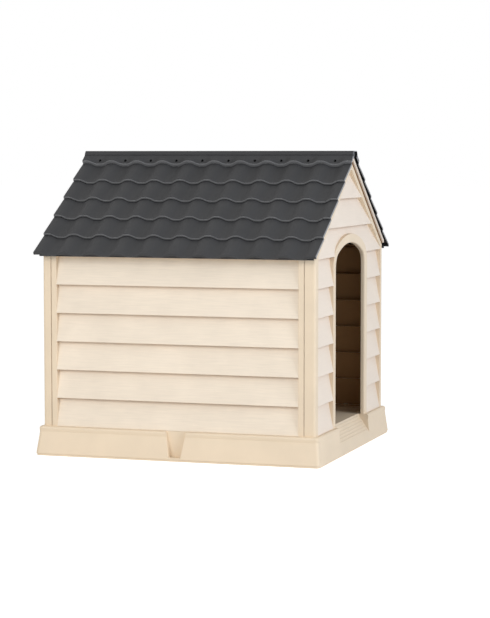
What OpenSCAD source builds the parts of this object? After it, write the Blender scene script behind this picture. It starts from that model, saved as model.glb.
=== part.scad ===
// Large moulded plastic pet house: a raised base, four lap-board walls that are
// pegged together, and a tiled roof that lifts off. The doorway faces -Y, the
// ridge runs along Y, and the origin is the middle of the ground under the base.

/* [Walls] */
// Width across the outer faces of the side walls
wall_w = 849; // [780:1:900]
// Depth across the outer faces of the front and rear walls
wall_d = 922; // [860:1:980]
// Thickness of the moulded wall skins
skin_t = 3; // [2.5:0.1:3.6]
// Height that one lap board shows
board_pitch = 92.4; // [84:0.1:100]
// Number of lap boards on a side wall
board_rows = 6; // [5:1:7]
// Distance that the top of a board lies behind the bottom of the next one
board_lean = 18; // [12:0.5:20]
// Depth of the frames round the lap boards
frame_depth = 24; // [24:0.5:28]
// Width of the flat margin at the ends of a side wall
side_margin = 20; // [16:1:26]
// Width of the corner posts on the front and rear faces
post_w = 27.5; // [24:0.5:34]
// Depth of the front corner posts on the side faces
front_return = 37; // [34:1:44]
// Depth of the rear corner posts on the side faces
rear_return = 28; // [26:1:34]
// Rounding of the upright corners of the walls
corner_r = 9; // [6:0.5:12]
// Height of the flat rail above the top board of a side wall
top_rail_h = 15; // [12:0.5:20]
// Width of the flat frame under the gable slopes
rake_frame_w = 17; // [12:0.5:22]
// Width of the groove above that frame
rake_groove_w = 8.5; // [6:0.5:10]
// Depth of that groove
rake_groove_d = 6; // [4:0.5:8]
// Width of the raised bead above the groove
rake_bead_w = 10; // [7:0.5:12]
// Distance that the bead stands proud of the wall face
rake_bead_proud = 3; // [1:0.5:5]
// Width of the groove that shows between two wall panels
joint_groove_w = 3; // [2:0.5:4]
// Depth of that groove
joint_groove_d = 4; // [3:0.5:6]
// Inward reach of the corner joint flanges from the side wall's face
corner_flange_w = 50; // [46:1:60]
// Inward reach of the flanges that stand on the base and under the roof
floor_flange_w = 34; // [32:1:42]

/* [Doorway] */
// Width of the doorway
door_w = 372; // [320:1:400]
// Height of the doorway above the base, at the top of its arch
door_h = 592; // [520:1:610]
// Height of the arch above the straight sides of the doorway
arch_rise = 78; // [68:1:100]
// Radius of the shoulders of the arch
shoulder_r = 50; // [40:1:58]
// Width of the casing round the doorway
casing_w = 30; // [24:1:36]

/* [Base] */
// Height of the base
base_h = 95; // [80:1:110]
// Width of the ledge round the foot of the walls
ledge_w = 13.5; // [10:0.5:18]
// Height of the rounded rim below the ledge
rim_h = 16; // [12:1:20]
// Distance that the skirt spreads at each side, from the ledge down to the ground
side_flare = 12.5; // [8:0.5:20]
// Distance that the skirt spreads at the front and at the rear
end_flare = 6.5; // [4:0.5:14]
// Distance that the skirt steps in below the rim
rim_step = 1.5; // [0.5:0.5:3]
// Height of the foot band at the ground
foot_h = 6; // [4:1:10]
// Distance that the foot band lies behind the skirt
foot_inset = 2; // [1:0.5:4]
// Rounding of the upright corners of the base
base_corner_r = 12; // [9:1:20]
// Thickness of the base moulding
base_t = 3.2; // [2.8:0.1:4]
// Spacing of the ribs under the deck
rib_pitch = 96; // [90:1:110]
// Gap between the ribs and the ground
rib_lift = 8; // [5:1:14]
// Diameter of the foot under the middle of the deck
middle_foot_d = 70; // [50:5:100]
// Width of the side notches at the top
notch_top_w = 68; // [50:1:80]
// Width of the side notches at the bottom
notch_low_w = 39; // [26:1:48]
// Height of the bottom of the side notches above the ground
notch_z = 12; // [9:1:20]
// Height of the lower end of the doorway ramp above the ground
ramp_low_z = 33; // [26:1:45]
// Number of tread ribs on the ramp
tread_n = 6; // [4:1:8]
// Height of a tread rib
tread_h = 1.6; // [1:0.1:2.4]

/* [Roof] */
// Slope of the roof
roof_pitch = 34.57; // [30:0.1:38]
// Distance from the side wall's face out to the eave
eave_reach = 48.5; // [44:0.5:56]
// Distance that the roof reaches past the front and rear walls
verge_reach = 13; // [11.5:0.5:16]
// Thickness of the roof skins
roof_t = 3; // [2.5:0.1:3.6]
// Number of tile courses on a slope
course_n = 5; // [4:1:6]
// Height of the step where a course laps the next
course_step = 9; // [6:0.5:11]
// Number of tiles along the ridge, from one gable to the other
tile_n = 10; // [8:2:12]
// Height of the rolls
tile_h = 13; // [9:0.5:15]
// Width of the flat crest of a roll
crest_w = 24; // [22:1:30]
// Width of the flat pan between rolls
pan_w = 28; // [22:1:34]
// Height of the edge along the eave, at the crests
eave_edge_h = 11; // [8:0.5:12]
// Distance from the side wall's face out to the drip lip under the eave
lip_reach = 27; // [20:0.5:32]
// Height of the drip lip's lower edge below the top of the side wall
lip_drop = 14.5; // [8:0.5:18]
// Space between the lowest pan of the tiles and the seat on the gables
seat_space = 2; // [1:0.5:4]
// Depth of the ribs that locate the roof between the walls
locate_drop = 12; // [8:1:18]
// Play of those ribs between the walls
locate_play = 2.5; // [1.5:0.5:4]

/* [Ridge] */
// Slope distance from the ridge to the edge of the ridge cap
cap_run = 62.5; // [58:0.5:68]
// Width of the flat top of the ridge cap
cap_top_w = 42; // [30:1:50]
// Slope distance from the ridge to the edge of the cap's plain crown
crown_run = 31; // [28:0.5:36]
// Height of the cap's crests above the tile slope
cap_rise = 4; // [2:0.5:6]
// Distance that the cap's end plates lie behind the ends of the crown
crown_recess = 8; // [4:1:14]
// Diameter of the vent holes in the cap
vent_d = 9; // [6:0.5:11]
// Slope distance from the cap's edge up to the vent holes
vent_set = 7; // [6:0.5:9]
// Depth of the bolted ridge flanges
ridge_flange_h = 38; // [32:1:46]
// Thickness of the web that the cap has between the flanges
web_t = 4; // [3:0.5:6]
// Number of ridge bolts
bolt_n = 5; // [3:1:7]
// Diameter of the ridge bolts
bolt_d = 6; // [5:0.5:8]

/* [Pegs] */
// Diameter of the push pegs
peg_d = 8; // [6:0.5:9]
// Diameter of the peg heads
peg_head_d = 16; // [13:0.5:16]
// Height of the peg heads
peg_head_h = 3.5; // [2.5:0.5:4.5]
// Radial clearance of pegs and bolts in their holes
peg_clear = 0.25; // [0.15:0.05:0.4]
// Height of a corner peg above the lower edge of its board
peg_rise = 20; // [16:1:26]

/* [Hidden] */

// Colours of the two mouldings and of the plain pegs
cream = "#e9d8b9";
charcoal = "#4b4b4c";
tan_grey = "#cfc3ac";

// Smoothness of round faces, and a small overlap that makes cuts run clear
round_fn = 48;
eps = 0.5;

// Walls
half_w = wall_w / 2;
half_d = wall_d / 2;
deck_z = base_h;
side_top = deck_z + board_rows * board_pitch + top_rail_h;
field_half_w = half_w - post_w;
slope_tan = tan(roof_pitch);
slope_cos = cos(roof_pitch);
slope_sin = sin(roof_pitch);

// Height of a line that runs parallel to the gable seat, at a distance under it
function rake_z(x, under) = side_top + (half_w - abs(x)) * slope_tan - under / slope_cos;

// Arch of the doorway: place of the shoulders, and radius and half turn of the flat arc
shoulder_x = door_w / 2 - shoulder_r;
arch_r = (shoulder_x * shoulder_x + arch_rise * arch_rise - shoulder_r * shoulder_r)
    / (2 * (arch_rise - shoulder_r));
arch_turn = asin(shoulder_x / (arch_r - shoulder_r));

// Roof: the slope plane touches the crests of the tiles at their lower edges
pan_floor = course_step + tile_h + roof_t;
seat_drop = pan_floor + seat_space;
plane_ridge_z = rake_z(0, 0) + seat_drop / slope_cos;
eave_x = half_w + eave_reach;
slope_len = eave_x / slope_cos;
course_pitch = (slope_len - cap_run) / course_n;
tilt = atan(course_step / course_pitch);
roof_half_d = half_d + verge_reach;
tile_w = wall_d / tile_n;
roll_side = (tile_w - crest_w - pan_w) / 2;
lap = roof_t;
lip_x = half_w + lip_reach;

// Drop of the tiles below the slope plane at slope distance s, without the rolls
function course_drop(s) =
    let (k = floor((s - cap_run) / course_pitch))
    course_step * (1 - ((s - cap_run) / course_pitch - k));

// Height of the slope plane above the ground at a distance x from the ridge,
// moved by h along its normal
function plane_z(x, h) = plane_ridge_z - x * slope_tan + h / slope_cos;

// Middle of the tile skin in the pans above a distance x from the ridge
function pan_mid_z(x) =
    let (guess = -(tile_h + (course_step + roof_t) / 2),
         s = (x - guess * slope_sin) / slope_cos)
    plane_z(x, -(tile_h + roof_t / 2 + course_drop(s)));

// Gable upstand: the groove and the bead above the seat
frame_top = (rake_groove_w + rake_bead_w) - (seat_drop - course_step - roof_t - eps);
frame_low = frame_top + rake_frame_w;
bead_top = frame_top - rake_groove_w - rake_bead_w;

// Ribs and tabs under the tiles
rib_eave_gap = eave_reach * 1.24;
locate_eave_gap = eave_reach * 1.86;
locate_cap_gap = cap_run * 0.32;
tab_len = pan_w * 1.5;

// Ridge
cap_half_top = cap_top_w / 2;
flange_in = web_t / 2;
flange_out = flange_in + roof_t;
strip_top_h = -(pan_floor - roof_t);
strip_s = (flange_in + pan_floor * slope_sin) / slope_cos;
flange_top_z = plane_z(flange_out, strip_top_h - roof_t / 2);
flange_low_z = flange_top_z - ridge_flange_h;
bolt_z = flange_low_z + bolt_d * 1.6;
flange_half_d = half_d - frame_depth - 7;
bolt_pitch = 2 * flange_half_d * 0.93 / (bolt_n - 1);

// Base on the ground, side notches and ramp
base_w = wall_w + 2 * (ledge_w + side_flare);
base_d = wall_d + 2 * (ledge_w + end_flare);
rib_n_w = 2 * floor((base_w / 2 - base_t) / rib_pitch) + 1;
rib_n_d = 2 * floor((base_d / 2 - base_t) / rib_pitch) + 1;
notch_back = ledge_w * 0.89;
ramp_back = frame_depth;

// Even places of n things that are pitch apart
function spread(n, pitch) = [for (i = [0:n - 1]) (i - (n - 1) / 2) * pitch];

// Height of the rolls at a place y along the ridge, with a crest over each gable.
// A wider crest and a narrower pan, by the same amount, give the upper face its
// even thickness.
function roll_at(y, grow) =
    let (past = y - half_d,
         p = abs(past - tile_w * round(past / tile_w)),
         edge = crest_w / 2 + grow,
         f = min(1, max(0, (p - edge) / roll_side)))
    -tile_h * (1 - cos(180 * f)) / 2;

// Places along the ridge where a roll line needs a point
function roll_stops(grow) =
    let (edge = crest_w / 2 + grow)
    concat([-roof_half_d],
        [for (k = [0:tile_n], side = [-1, 1], i = [0:roll_steps])
            let (f = side < 0 ? roll_steps - i : i,
                 y = k * tile_w - half_d + side * (edge + roll_side * f / roll_steps))
            if (abs(y) < roof_half_d - 0.1) y],
        [roof_half_d]);
roll_steps = 3;

// Line of the rolls from one verge to the other, at a share of their height
function roll_line(h, grow, share = 1) =
    [for (y = roll_stops(grow)) [y, h + share * roll_at(y, grow)]];
function reversed(list) = [for (i = [len(list) - 1:-1:0]) list[i]];

// Height of the middle of the tile skin over a rib at a place y along the ridge
function skin_at(y) =
    min(roll_at(y - roof_t / 2, 0), roll_at(y + roof_t / 2, 0)) - roof_t / 2;

// Plate between two roll lines, laid from slope distance s0 to s1
module roll_plate(s0, s1, top_h, low_h, low_grow = -roof_t / 2, low_share = 1) {
    translate([s0, 0, 0])
        rotate([90, 0, 90])
            linear_extrude(s1 - s0)
                polygon(concat(roll_line(top_h, 0),
                    reversed(roll_line(low_h, low_grow, low_share))));
}

// Zigzag section of lap boards, with the outer face at 0 and the inside at -x
module board_section(rows) {
    outer = [for (i = [0:rows - 1], top = [0, 1])
        [-board_lean * top, deck_z + (i + top) * board_pitch]];
    inner = [for (p = outer) p + [-skin_t, skin_t]];
    polygon(concat([[0, deck_z]], outer, [[-board_lean - skin_t, outer[len(outer) - 1][1]]],
        reversed([for (i = [0:len(inner) - 2]) inner[i]]), [[-skin_t, deck_z]]));
}

// House outline seen from the front, set in by side_in and by under at the slopes
module gable_shape(side_in, under) {
    x = half_w - side_in;
    polygon([[-x, deck_z], [x, deck_z], [x, rake_z(x, under)], [0, rake_z(0, under)],
        [-x, rake_z(x, under)]]);
}

// Right half of the doorway's arch from the straight side up, grown by a margin: a
// round shoulder, then the flat arc, which meet without a corner
function arch_line(grow) =
    let (spring = deck_z + door_h - arch_rise)
    concat([for (i = [0:shoulder_steps])
            let (turn = (90 - arch_turn) * i / shoulder_steps)
            [shoulder_x + (shoulder_r + grow) * cos(turn),
                spring + (shoulder_r + grow) * sin(turn)]],
        [for (i = [1:flat_steps - 1])
            let (turn = arch_turn * (1 - i / flat_steps))
            [(arch_r + grow) * sin(turn),
                spring + arch_rise - arch_r + (arch_r + grow) * cos(turn)]],
        [[0, spring + arch_rise + grow]]);
shoulder_steps = 10;
flat_steps = 7;

// Doorway outline, grown by a margin
module door_shape(grow) {
    r = door_w / 2 + grow;
    right = arch_line(grow);
    polygon(concat([[r, deck_z - eps]], right,
        [for (i = [len(right) - 2:-1:0]) [-right[i][0], right[i][1]]], [[-r, deck_z - eps]]));
}

// Upright plate that follows a flat shape drawn as width and height. It starts
// at a distance behind the wall's outer face and is deep inwards.
module wall_slab(start, deep) {
    translate([0, -half_d + start + deep, 0])
        rotate([90, 0, 0])
            linear_extrude(deep)
                children();
}

// Corner post outline at the right side, with the wall's face on -Y
module post_outline(depth, shrink) {
    r = corner_r - shrink;
    x0 = field_half_w + shrink;
    x1 = half_w - shrink;
    y0 = -half_d + shrink;
    y1 = -half_d + depth;
    translate([x0, y0])
        square([x1 - x0 - r, y1 - y0]);
    translate([x0, y0 + r])
        square([x1 - x0, y1 - y0 - r]);
    translate([x1 - r, y0 + r])
        circle(r, $fn = round_fn);
}

// Front or rear wall in its place at the front, without a doorway
module gable_wall(depth) {
    gable_rows = ceil((rake_z(0, 0) - deck_z) / board_pitch);
    intersection() {
        rotate([0, 0, -90])
            translate([half_d, 0, 0])
                rotate([90, 0, 0])
                    linear_extrude(2 * field_half_w + 2, center = true)
                        board_section(gable_rows);
        wall_slab(-eps, frame_depth)
            gable_shape(post_w - skin_t / 2, frame_low - skin_t / 2);
    }
    wall_slab(0, skin_t)
        difference() {
            gable_shape(corner_r, frame_top);
            gable_shape(post_w, frame_low);
        }
    wall_slab(0, frame_depth)
        difference() {
            gable_shape(post_w - skin_t, frame_low - skin_t);
            gable_shape(post_w, frame_low);
        }
    wall_slab(rake_groove_d + 1, frame_depth - rake_groove_d - 1)
        difference() {
            gable_shape(corner_r, 0);
            gable_shape(corner_r, skin_t);
            translate([-half_w, 0])
                square([wall_w, side_top - corner_r]);
        }
    wall_slab(rake_groove_d, skin_t)
        rake_band(bead_top, frame_top + skin_t);
    wall_slab(0, rake_groove_d + skin_t)
        rake_band(frame_top, frame_top + skin_t);
    wall_slab(-rake_bead_proud, rake_bead_proud + rake_groove_d + skin_t)
        rake_band(bead_top, bead_top + rake_bead_w);
    for (side = [0, 1])
        mirror([side, 0, 0])
            intersection() {
                translate([0, 0, deck_z]) {
                    linear_extrude(side_top + post_w - deck_z)
                        difference() {
                            post_outline(depth, 0);
                            post_outline(depth - skin_t, skin_t);
                        }
                    linear_extrude(side_top - deck_z)
                        translate([half_w - corner_flange_w, -half_d + depth - skin_t])
                            square([corner_flange_w - skin_t, skin_t]);
                }
                wall_slab(-eps, depth + 2 * eps)
                    gable_shape(0, frame_top);
            }
    for (part = [[field_half_w + eps, min(floor_flange_w, depth)],
            [half_w - corner_flange_w - skin_t, floor_flange_w]])
        translate([-part[0], -half_d + skin_t / 2, deck_z])
            cube([2 * part[0], part[1] - skin_t / 2, skin_t]);
}

// Flat band along both gable slopes, between two lines parallel to the seat
module rake_band(upper, lower) {
    difference() {
        gable_shape(0.5, upper);
        gable_shape(0.5, lower);
        translate([-half_w, 0])
            square([wall_w, side_top - corner_r]);
    }
}

// Peg holes of a gable wall: two corner rows and one row in the floor flange
module gable_peg_holes(depth, floor_places) {
    for (side = [-1, 1], z = corner_peg_z)
        translate([side * corner_peg_x, -half_d + depth - skin_t, z])
            peg_hole_y();
    for (x = floor_places)
        translate([x, -half_d + floor_peg_in, deck_z])
            peg_hole_z();
}
corner_peg_x = half_w - corner_flange_w + peg_head_d / 2 + 5;
corner_peg_z = [for (r = [1:2:board_rows - 1]) deck_z + r * board_pitch + peg_rise];
floor_peg_in = 22;

// Floor pegs stand midway between the ribs of the base
front_peg_x = [for (side = [-1, 1], k = [2.5, 3.5]) side * k * rib_pitch];
rear_peg_x = [for (side = [-1, 1], k = [1.5, 3.5]) side * k * rib_pitch];
side_peg_y = rear_peg_x;

module peg_hole_y() {
    rotate([90, 0, 0])
        cylinder(h = 4 * skin_t, d = peg_d + 2 * peg_clear, center = true, $fn = round_fn);
}
module peg_hole_z() {
    cylinder(h = 8 * skin_t, d = peg_d + 2 * peg_clear, center = true, $fn = round_fn);
}

module front_panel() {
    color(cream)
        difference() {
            union() {
                difference() {
                    gable_wall(front_return);
                    wall_slab(-eps, frame_depth + floor_flange_w)
                        door_shape(casing_w - skin_t / 2);
                }
                wall_slab(0, skin_t)
                    door_ring(0, casing_w);
                wall_slab(0, frame_depth)
                    door_ring(0, skin_t);
                wall_slab(0, frame_depth)
                    door_ring(casing_w - skin_t, casing_w);
            }
            gable_peg_holes(front_return, front_peg_x);
        }
}

// Arched ring between two margins round the doorway
module door_ring(inner, outer) {
    intersection() {
        difference() {
            door_shape(outer);
            door_shape(inner);
        }
        translate([-half_w, deck_z])
            square([wall_w, door_h + 2 * casing_w]);
    }
}

module rear_panel() {
    color(cream)
        rotate([0, 0, 180])
            difference() {
                gable_wall(rear_return);
                gable_peg_holes(rear_return, rear_peg_x);
            }
}

// Side wall in its place at the right
module side_wall() {
    y0 = -half_d + front_return;
    y1 = half_d - rear_return;
    field_y0 = y0 + side_margin;
    field_y1 = y1 - side_margin;
    rail_z = side_top - top_rail_h;
    difference() {
        union() {
            translate([half_w, field_y1 + skin_t / 2, 0])
                rotate([90, 0, 0])
                    linear_extrude(field_y1 - field_y0 + skin_t)
                        board_section(board_rows);
            for (end = [[y0 + joint_groove_w, field_y0], [field_y1, y1 - joint_groove_w]])
                translate([half_w - skin_t, end[0], deck_z])
                    cube([skin_t, end[1] - end[0], side_top - deck_z]);
            for (y = [field_y0 - skin_t, field_y1])
                translate([half_w - frame_depth, y, deck_z])
                    cube([frame_depth, skin_t, side_top - deck_z]);
            for (y = [y0, y1 - skin_t])
                translate([half_w - corner_flange_w, y, deck_z])
                    cube([corner_flange_w - joint_groove_d, skin_t, side_top - deck_z]);
            for (y = [y0, y1 - joint_groove_w - skin_t])
                translate([half_w - joint_groove_d - skin_t, y, deck_z])
                    cube([skin_t, joint_groove_w + skin_t, side_top - deck_z]);
            for (y = [y0 + joint_groove_w, y1 - joint_groove_w - skin_t])
                translate([half_w - joint_groove_d - skin_t, y, deck_z])
                    cube([joint_groove_d + skin_t / 2, skin_t, side_top - deck_z]);
            translate([half_w - skin_t, field_y0 - skin_t / 2, rail_z])
                cube([skin_t, field_y1 - field_y0 + skin_t, top_rail_h]);
            translate([half_w - board_lean - skin_t, field_y0 - skin_t / 2, rail_z])
                cube([board_lean + skin_t, field_y1 - field_y0 + skin_t, skin_t]);
            for (z = [deck_z, side_top - skin_t]) {
                translate([half_w - floor_flange_w, y0, z])
                    cube([floor_flange_w - joint_groove_d - eps, y1 - y0, skin_t]);
                translate([half_w - floor_flange_w, field_y0 - side_margin / 2, z])
                    cube([floor_flange_w - skin_t / 2, field_y1 - field_y0 + side_margin, skin_t]);
            }
        }
        for (y = side_peg_y)
            translate([half_w - floor_peg_in, y, deck_z])
                peg_hole_z();
        for (y = [y0, y1], z = corner_peg_z)
            translate([corner_peg_x, y, z])
                peg_hole_y();
    }
}

module left_panel() {
    color(cream)
        mirror([1, 0, 0])
            side_wall();
}
module right_panel() {
    color(cream)
        side_wall();
}

// Block with rounded upright corners round the middle, from z0 to z1
module base_block(w, d, r, z0, z1) {
    translate([0, 0, z0])
        linear_extrude(z1 - z0) {
            square([w - 2 * r, d], center = true);
            square([w, d - 2 * r], center = true);
            for (x = [-1, 1], y = [-1, 1])
                translate([x * (w / 2 - r), y * (d / 2 - r)])
                    circle(r, $fn = round_fn);
        }
}

// Outer form of the base, or its hollow when shrink is the moulding's thickness
module base_form(shrink) {
    rim_w = wall_w + 2 * ledge_w - 2 * shrink;
    rim_d = wall_d + 2 * ledge_w - 2 * shrink;
    rim_z = base_h - rim_h + shrink;
    foot_z = foot_h + shrink;
    top_z = base_h - shrink;
    r = base_corner_r - shrink / 2;
    hull() {
        base_block(rim_w, rim_d, r, rim_z, top_z - rim_h * 0.45);
        base_block(rim_w - rim_h * 0.3, rim_d - rim_h * 0.3, r, rim_z, top_z - rim_h * 0.15);
        base_block(rim_w - rim_h * 0.75, rim_d - rim_h * 0.75, r, rim_z, top_z);
    }
    hull() {
        base_block(rim_w - 2 * rim_step, rim_d - 2 * rim_step, r, rim_z, rim_z + 0.2);
        base_block(base_w - 2.3 * shrink, base_d - 2.3 * shrink, r, foot_z - 0.2, foot_z);
    }
    base_block(base_w - 2 * shrink - 2 * foot_inset, base_d - 2 * shrink - 2 * foot_inset, r,
        -2 * shrink, foot_z);
}

// Notch in the skirt at the right side, grown all round by a wall
module notch(grow) {
    top_h = base_h + eps + grow;
    translate([half_w + ledge_w - notch_back - grow, 0, 0])
        rotate([90, 0, 90])
            linear_extrude(base_w)
                polygon([[-notch_low_w / 2 - grow, notch_z - grow],
                    [notch_low_w / 2 + grow, notch_z - grow],
                    [notch_top_w / 2 + grow, top_h], [-notch_top_w / 2 - grow, top_h]]);
}

// Space over the doorway ramp, grown all round by a wall
module ramp_space(grow) {
    back_y = -half_d + ramp_back;
    front_y = -base_d / 2 - eps;
    ramp_front = -base_d / 2 + (base_d / 2 - half_d - ledge_w) * ramp_low_z / base_h;
    translate([-door_w / 2 - grow, 0, 0])
        rotate([90, 0, 90])
            linear_extrude(door_w + 2 * grow)
                polygon([[back_y + grow, base_h - grow * 0.2], [ramp_front, ramp_low_z - grow],
                    [front_y, ramp_low_z - grow], [front_y, base_h + eps + grow],
                    [back_y + grow, base_h + eps + grow]]);
}

module base() {
    back_y = -half_d + ramp_back;
    ramp_front = -base_d / 2 + (base_d / 2 - half_d - ledge_w) * ramp_low_z / base_h;
    run = back_y - ramp_front;
    rise = base_h - ramp_low_z;
    ramp_angle = atan(rise / run);
    ramp_len = norm([run, rise]);
    color(cream)
        difference() {
            union() {
                difference() {
                    base_form(0);
                    difference() {
                        base_form(base_t);
                        notch(base_t);
                        mirror([1, 0, 0])
                            notch(base_t);
                        ramp_space(base_t);
                        for (x = spread(rib_n_w, rib_pitch))
                            translate([x - base_t / 2, -base_d / 2, rib_lift])
                                cube([base_t, base_d, base_h]);
                        for (y = spread(rib_n_d, rib_pitch))
                            translate([-base_w / 2, y - base_t / 2, rib_lift])
                                cube([base_w, base_t, base_h]);
                        translate([0, 0, -1])
                            cylinder(h = base_t + 1, d = middle_foot_d, $fn = round_fn);
                        for (turn = [0, 90])
                            rotate([0, 0, turn])
                                translate([-base_t / 2, -middle_foot_d / 2 + 2, 0])
                                    cube([base_t, middle_foot_d - 4, rib_lift + 1]);
                    }
                    notch(0);
                    mirror([1, 0, 0])
                        notch(0);
                    ramp_space(0);
                }
                for (i = [1:tread_n])
                    translate([-door_w / 2 + 6, back_y, base_h])
                        rotate([ramp_angle, 0, 0])
                            translate([0, -i * ramp_len / (tread_n + 1), -1])
                                cube([door_w - 12, base_t, 1 + tread_h]);
            }
            for (side = [-1, 1], y = side_peg_y)
                translate([side * (half_w - floor_peg_in), y, deck_z])
                    peg_hole_z();
            for (x = front_peg_x)
                translate([x, -half_d + floor_peg_in, deck_z])
                    peg_hole_z();
            for (x = rear_peg_x)
                translate([x, half_d - floor_peg_in, deck_z])
                    peg_hole_z();
        }
}

// Places the slope frame: X runs down the right slope, Z stands off it
module on_slope() {
    translate([0, 0, plane_ridge_z])
        rotate([0, roof_pitch, 0])
            children();
}

// Rib under the tiles that runs down the slope, its top inside the tile skin
module slope_rib(s0, s1, y, top_h, low_h) {
    stops = [for (k = [0:course_n]) cap_run + k * course_pitch];
    inner = [for (k = [1:course_n - 1], side = [-1, 1])
        [stops[k] + side * 0.05, top_h - (side < 0 ? 0 : course_step)]];
    translate([0, y + roof_t / 2, 0])
        rotate([90, 0, 0])
            linear_extrude(roof_t)
                polygon(concat([[s0, low_h], [s0, top_h - course_drop(s0)]], inner,
                    [[s1, top_h - course_drop(s1)], [s1, low_h]]));
}

// Roof half in its place at the right
module roof_half() {
    seat_y = half_d - rake_groove_d - skin_t - locate_play - roof_t / 2;
    locate_y = half_d - frame_depth - locate_play - roof_t / 2;
    rest_x = half_w - joint_groove_d - 8;
    rest_half_d = half_d - front_return - locate_play;
    tab_x = half_w - floor_flange_w - locate_play - roof_t;
    difference() {
        union() {
            on_slope() {
                for (k = [0:course_n - 1])
                    translate([cap_run + k * course_pitch - (k == 0 ? 2 : lap), 0, -course_step])
                        rotate([0, -tilt, 0])
                            roll_plate(0, course_pitch / cos(tilt) + (k == 0 ? 2 : lap) - 0.2,
                                0, -roof_t);
                for (k = [1:course_n - 1])
                    roll_plate(cap_run + k * course_pitch - roof_t, cap_run + k * course_pitch,
                        -0.6, -course_step - roof_t + 0.4);
                roll_plate(slope_len - roof_t, slope_len, -0.6, -eave_edge_h,
                    low_share = (tile_h + roof_t - eave_edge_h) / tile_h);
                translate([strip_s, -seat_y - roof_t / 2, strip_top_h - roof_t])
                    cube([cap_run - strip_s + 3, 2 * seat_y + roof_t, roof_t]);
                for (side = [-1, 1]) {
                    slope_rib(cap_run, slope_len - rib_eave_gap, side * seat_y,
                        skin_at(seat_y), -seat_drop);
                    slope_rib(cap_run + locate_cap_gap, slope_len - locate_eave_gap,
                        side * locate_y, skin_at(locate_y), -seat_drop - locate_drop);
                }
            }
            translate([rest_x - roof_t, -rest_half_d, side_top])
                cube([roof_t, 2 * rest_half_d, pan_mid_z(rest_x) - side_top]);
            for (k = [2, floor(tile_n / 2), tile_n - 3])
                translate([tab_x, pan_y[k] - tab_len / 2, side_top - locate_drop])
                    cube([roof_t, tab_len, pan_mid_z(tab_x) - side_top + locate_drop]);
            translate([lip_x - roof_t, -half_d, side_top - lip_drop])
                cube([roof_t, 2 * half_d, pan_mid_z(lip_x) - side_top + lip_drop]);
            translate([flange_in, -flange_half_d, flange_low_z])
                cube([roof_t, 2 * flange_half_d, ridge_flange_h]);
            translate([flange_in, -flange_half_d, flange_top_z - roof_t * 0.7])
                cube([flange_out, 2 * flange_half_d, roof_t]);
        }
        on_slope()
            for (y = pan_y)
                translate([cap_run - vent_set, y, 0])
                    cylinder(h = 4 * pan_floor, d = vent_d, center = true, $fn = round_fn);
        for (y = spread(bolt_n, bolt_pitch))
            translate([0, y, bolt_z])
                bolt_hole();
    }
}

// Middles of the pans, where the vents and the tabs are
pan_y = spread(tile_n, tile_w);

module bolt_hole() {
    rotate([0, 90, 0])
        cylinder(h = 8 * roof_t, d = bolt_d + 2 * peg_clear, center = true, $fn = round_fn);
}

module roof_right() {
    color(charcoal)
        roof_half();
}
module roof_left() {
    color(charcoal)
        mirror([1, 0, 0])
            roof_half();
}

// Half of the cap's crown section, from the middle out to the crown's edge
function crown_points(shift) =
    let (edge_h = cap_rise + 2 - shift,
         top_z = plane_z(0, 0) - shift,
         x1 = crown_run * slope_cos + edge_h * slope_sin,
         z1 = plane_ridge_z - crown_run * slope_sin + edge_h * slope_cos)
    [[0, top_z], [cap_half_top * 0.85 - shift * 0.3, top_z],
     [cap_half_top + 3 - shift * 0.3, top_z - 3], [x1, z1]];

module crown_section() {
    polygon(concat(crown_points(0), reversed(crown_points(roof_t))));
}

// Half of the plate that closes the cap under the crown
module crown_end_section() {
    s = crown_run - roof_t / 2;
    polygon(concat(crown_points(roof_t / 2),
        [[s * slope_cos + cap_low_h * slope_sin, plane_ridge_z - s * slope_sin + cap_low_h * slope_cos],
         [0, plane_z(0, cap_low_h)]]));
}
cap_low_h = -course_step + eps;

// Plate that closes the cap under the rolls, in the slope frame
module band_end_section() {
    translate([crown_run - roof_t, cap_low_h])
        square([cap_run - crown_run + roof_t / 2, cap_rise - roof_t / 2 - cap_low_h]);
}

module ridge_cap() {
    color(charcoal)
        difference() {
            union() {
                for (side = [0, 1])
                    mirror([side, 0, 0]) {
                        translate([0, roof_half_d, 0])
                            rotate([90, 0, 0])
                                linear_extrude(2 * roof_half_d)
                                    crown_section();
                        for (y = [-roof_half_d + crown_recess + roof_t, roof_half_d - crown_recess])
                            translate([0, y, 0])
                                rotate([90, 0, 0])
                                    linear_extrude(roof_t)
                                        crown_end_section();
                        on_slope() {
                            for (y = [-roof_half_d + roof_t, roof_half_d])
                                translate([0, y, 0])
                                    rotate([90, 0, 0])
                                        linear_extrude(roof_t)
                                            band_end_section();
                            translate([crown_run - roof_t, -roof_half_d, cap_rise - tile_h - roof_t / 2])
                                cube([roof_t, 2 * roof_half_d, tile_h + roof_t]);
                            roll_plate(crown_run - 4, cap_run, cap_rise, cap_rise - roof_t);
                            roll_plate(cap_run - roof_t, cap_run - 0.2, cap_rise - 0.6,
                                -course_step + eps, 0);
                        }
                    }
                translate([-flange_in, -flange_half_d, flange_low_z])
                    cube([web_t, 2 * flange_half_d, plane_ridge_z - flange_low_z - roof_t / 2]);
            }
            for (side = [0, 1])
                mirror([side, 0, 0])
                    on_slope()
                        for (y = pan_y)
                            translate([cap_run - vent_set, y, 0])
                                cylinder(h = 4 * pan_floor, d = vent_d, center = true,
                                    $fn = round_fn);
            for (y = spread(bolt_n, bolt_pitch))
                translate([0, y, bolt_z])
                    bolt_hole();
        }
}

module ridge_bolts() {
    head_d = bolt_d * 2;
    color(charcoal)
        for (y = spread(bolt_n, bolt_pitch))
            translate([-flange_out, y, bolt_z])
                rotate([0, 90, 0]) {
                    translate([0, 0, -bolt_d * 0.6])
                        cylinder(h = bolt_d * 0.6, d = head_d, $fn = round_fn);
                    cylinder(h = 2 * flange_out + bolt_d * 1.8, d = bolt_d, $fn = round_fn);
                }
}

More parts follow.
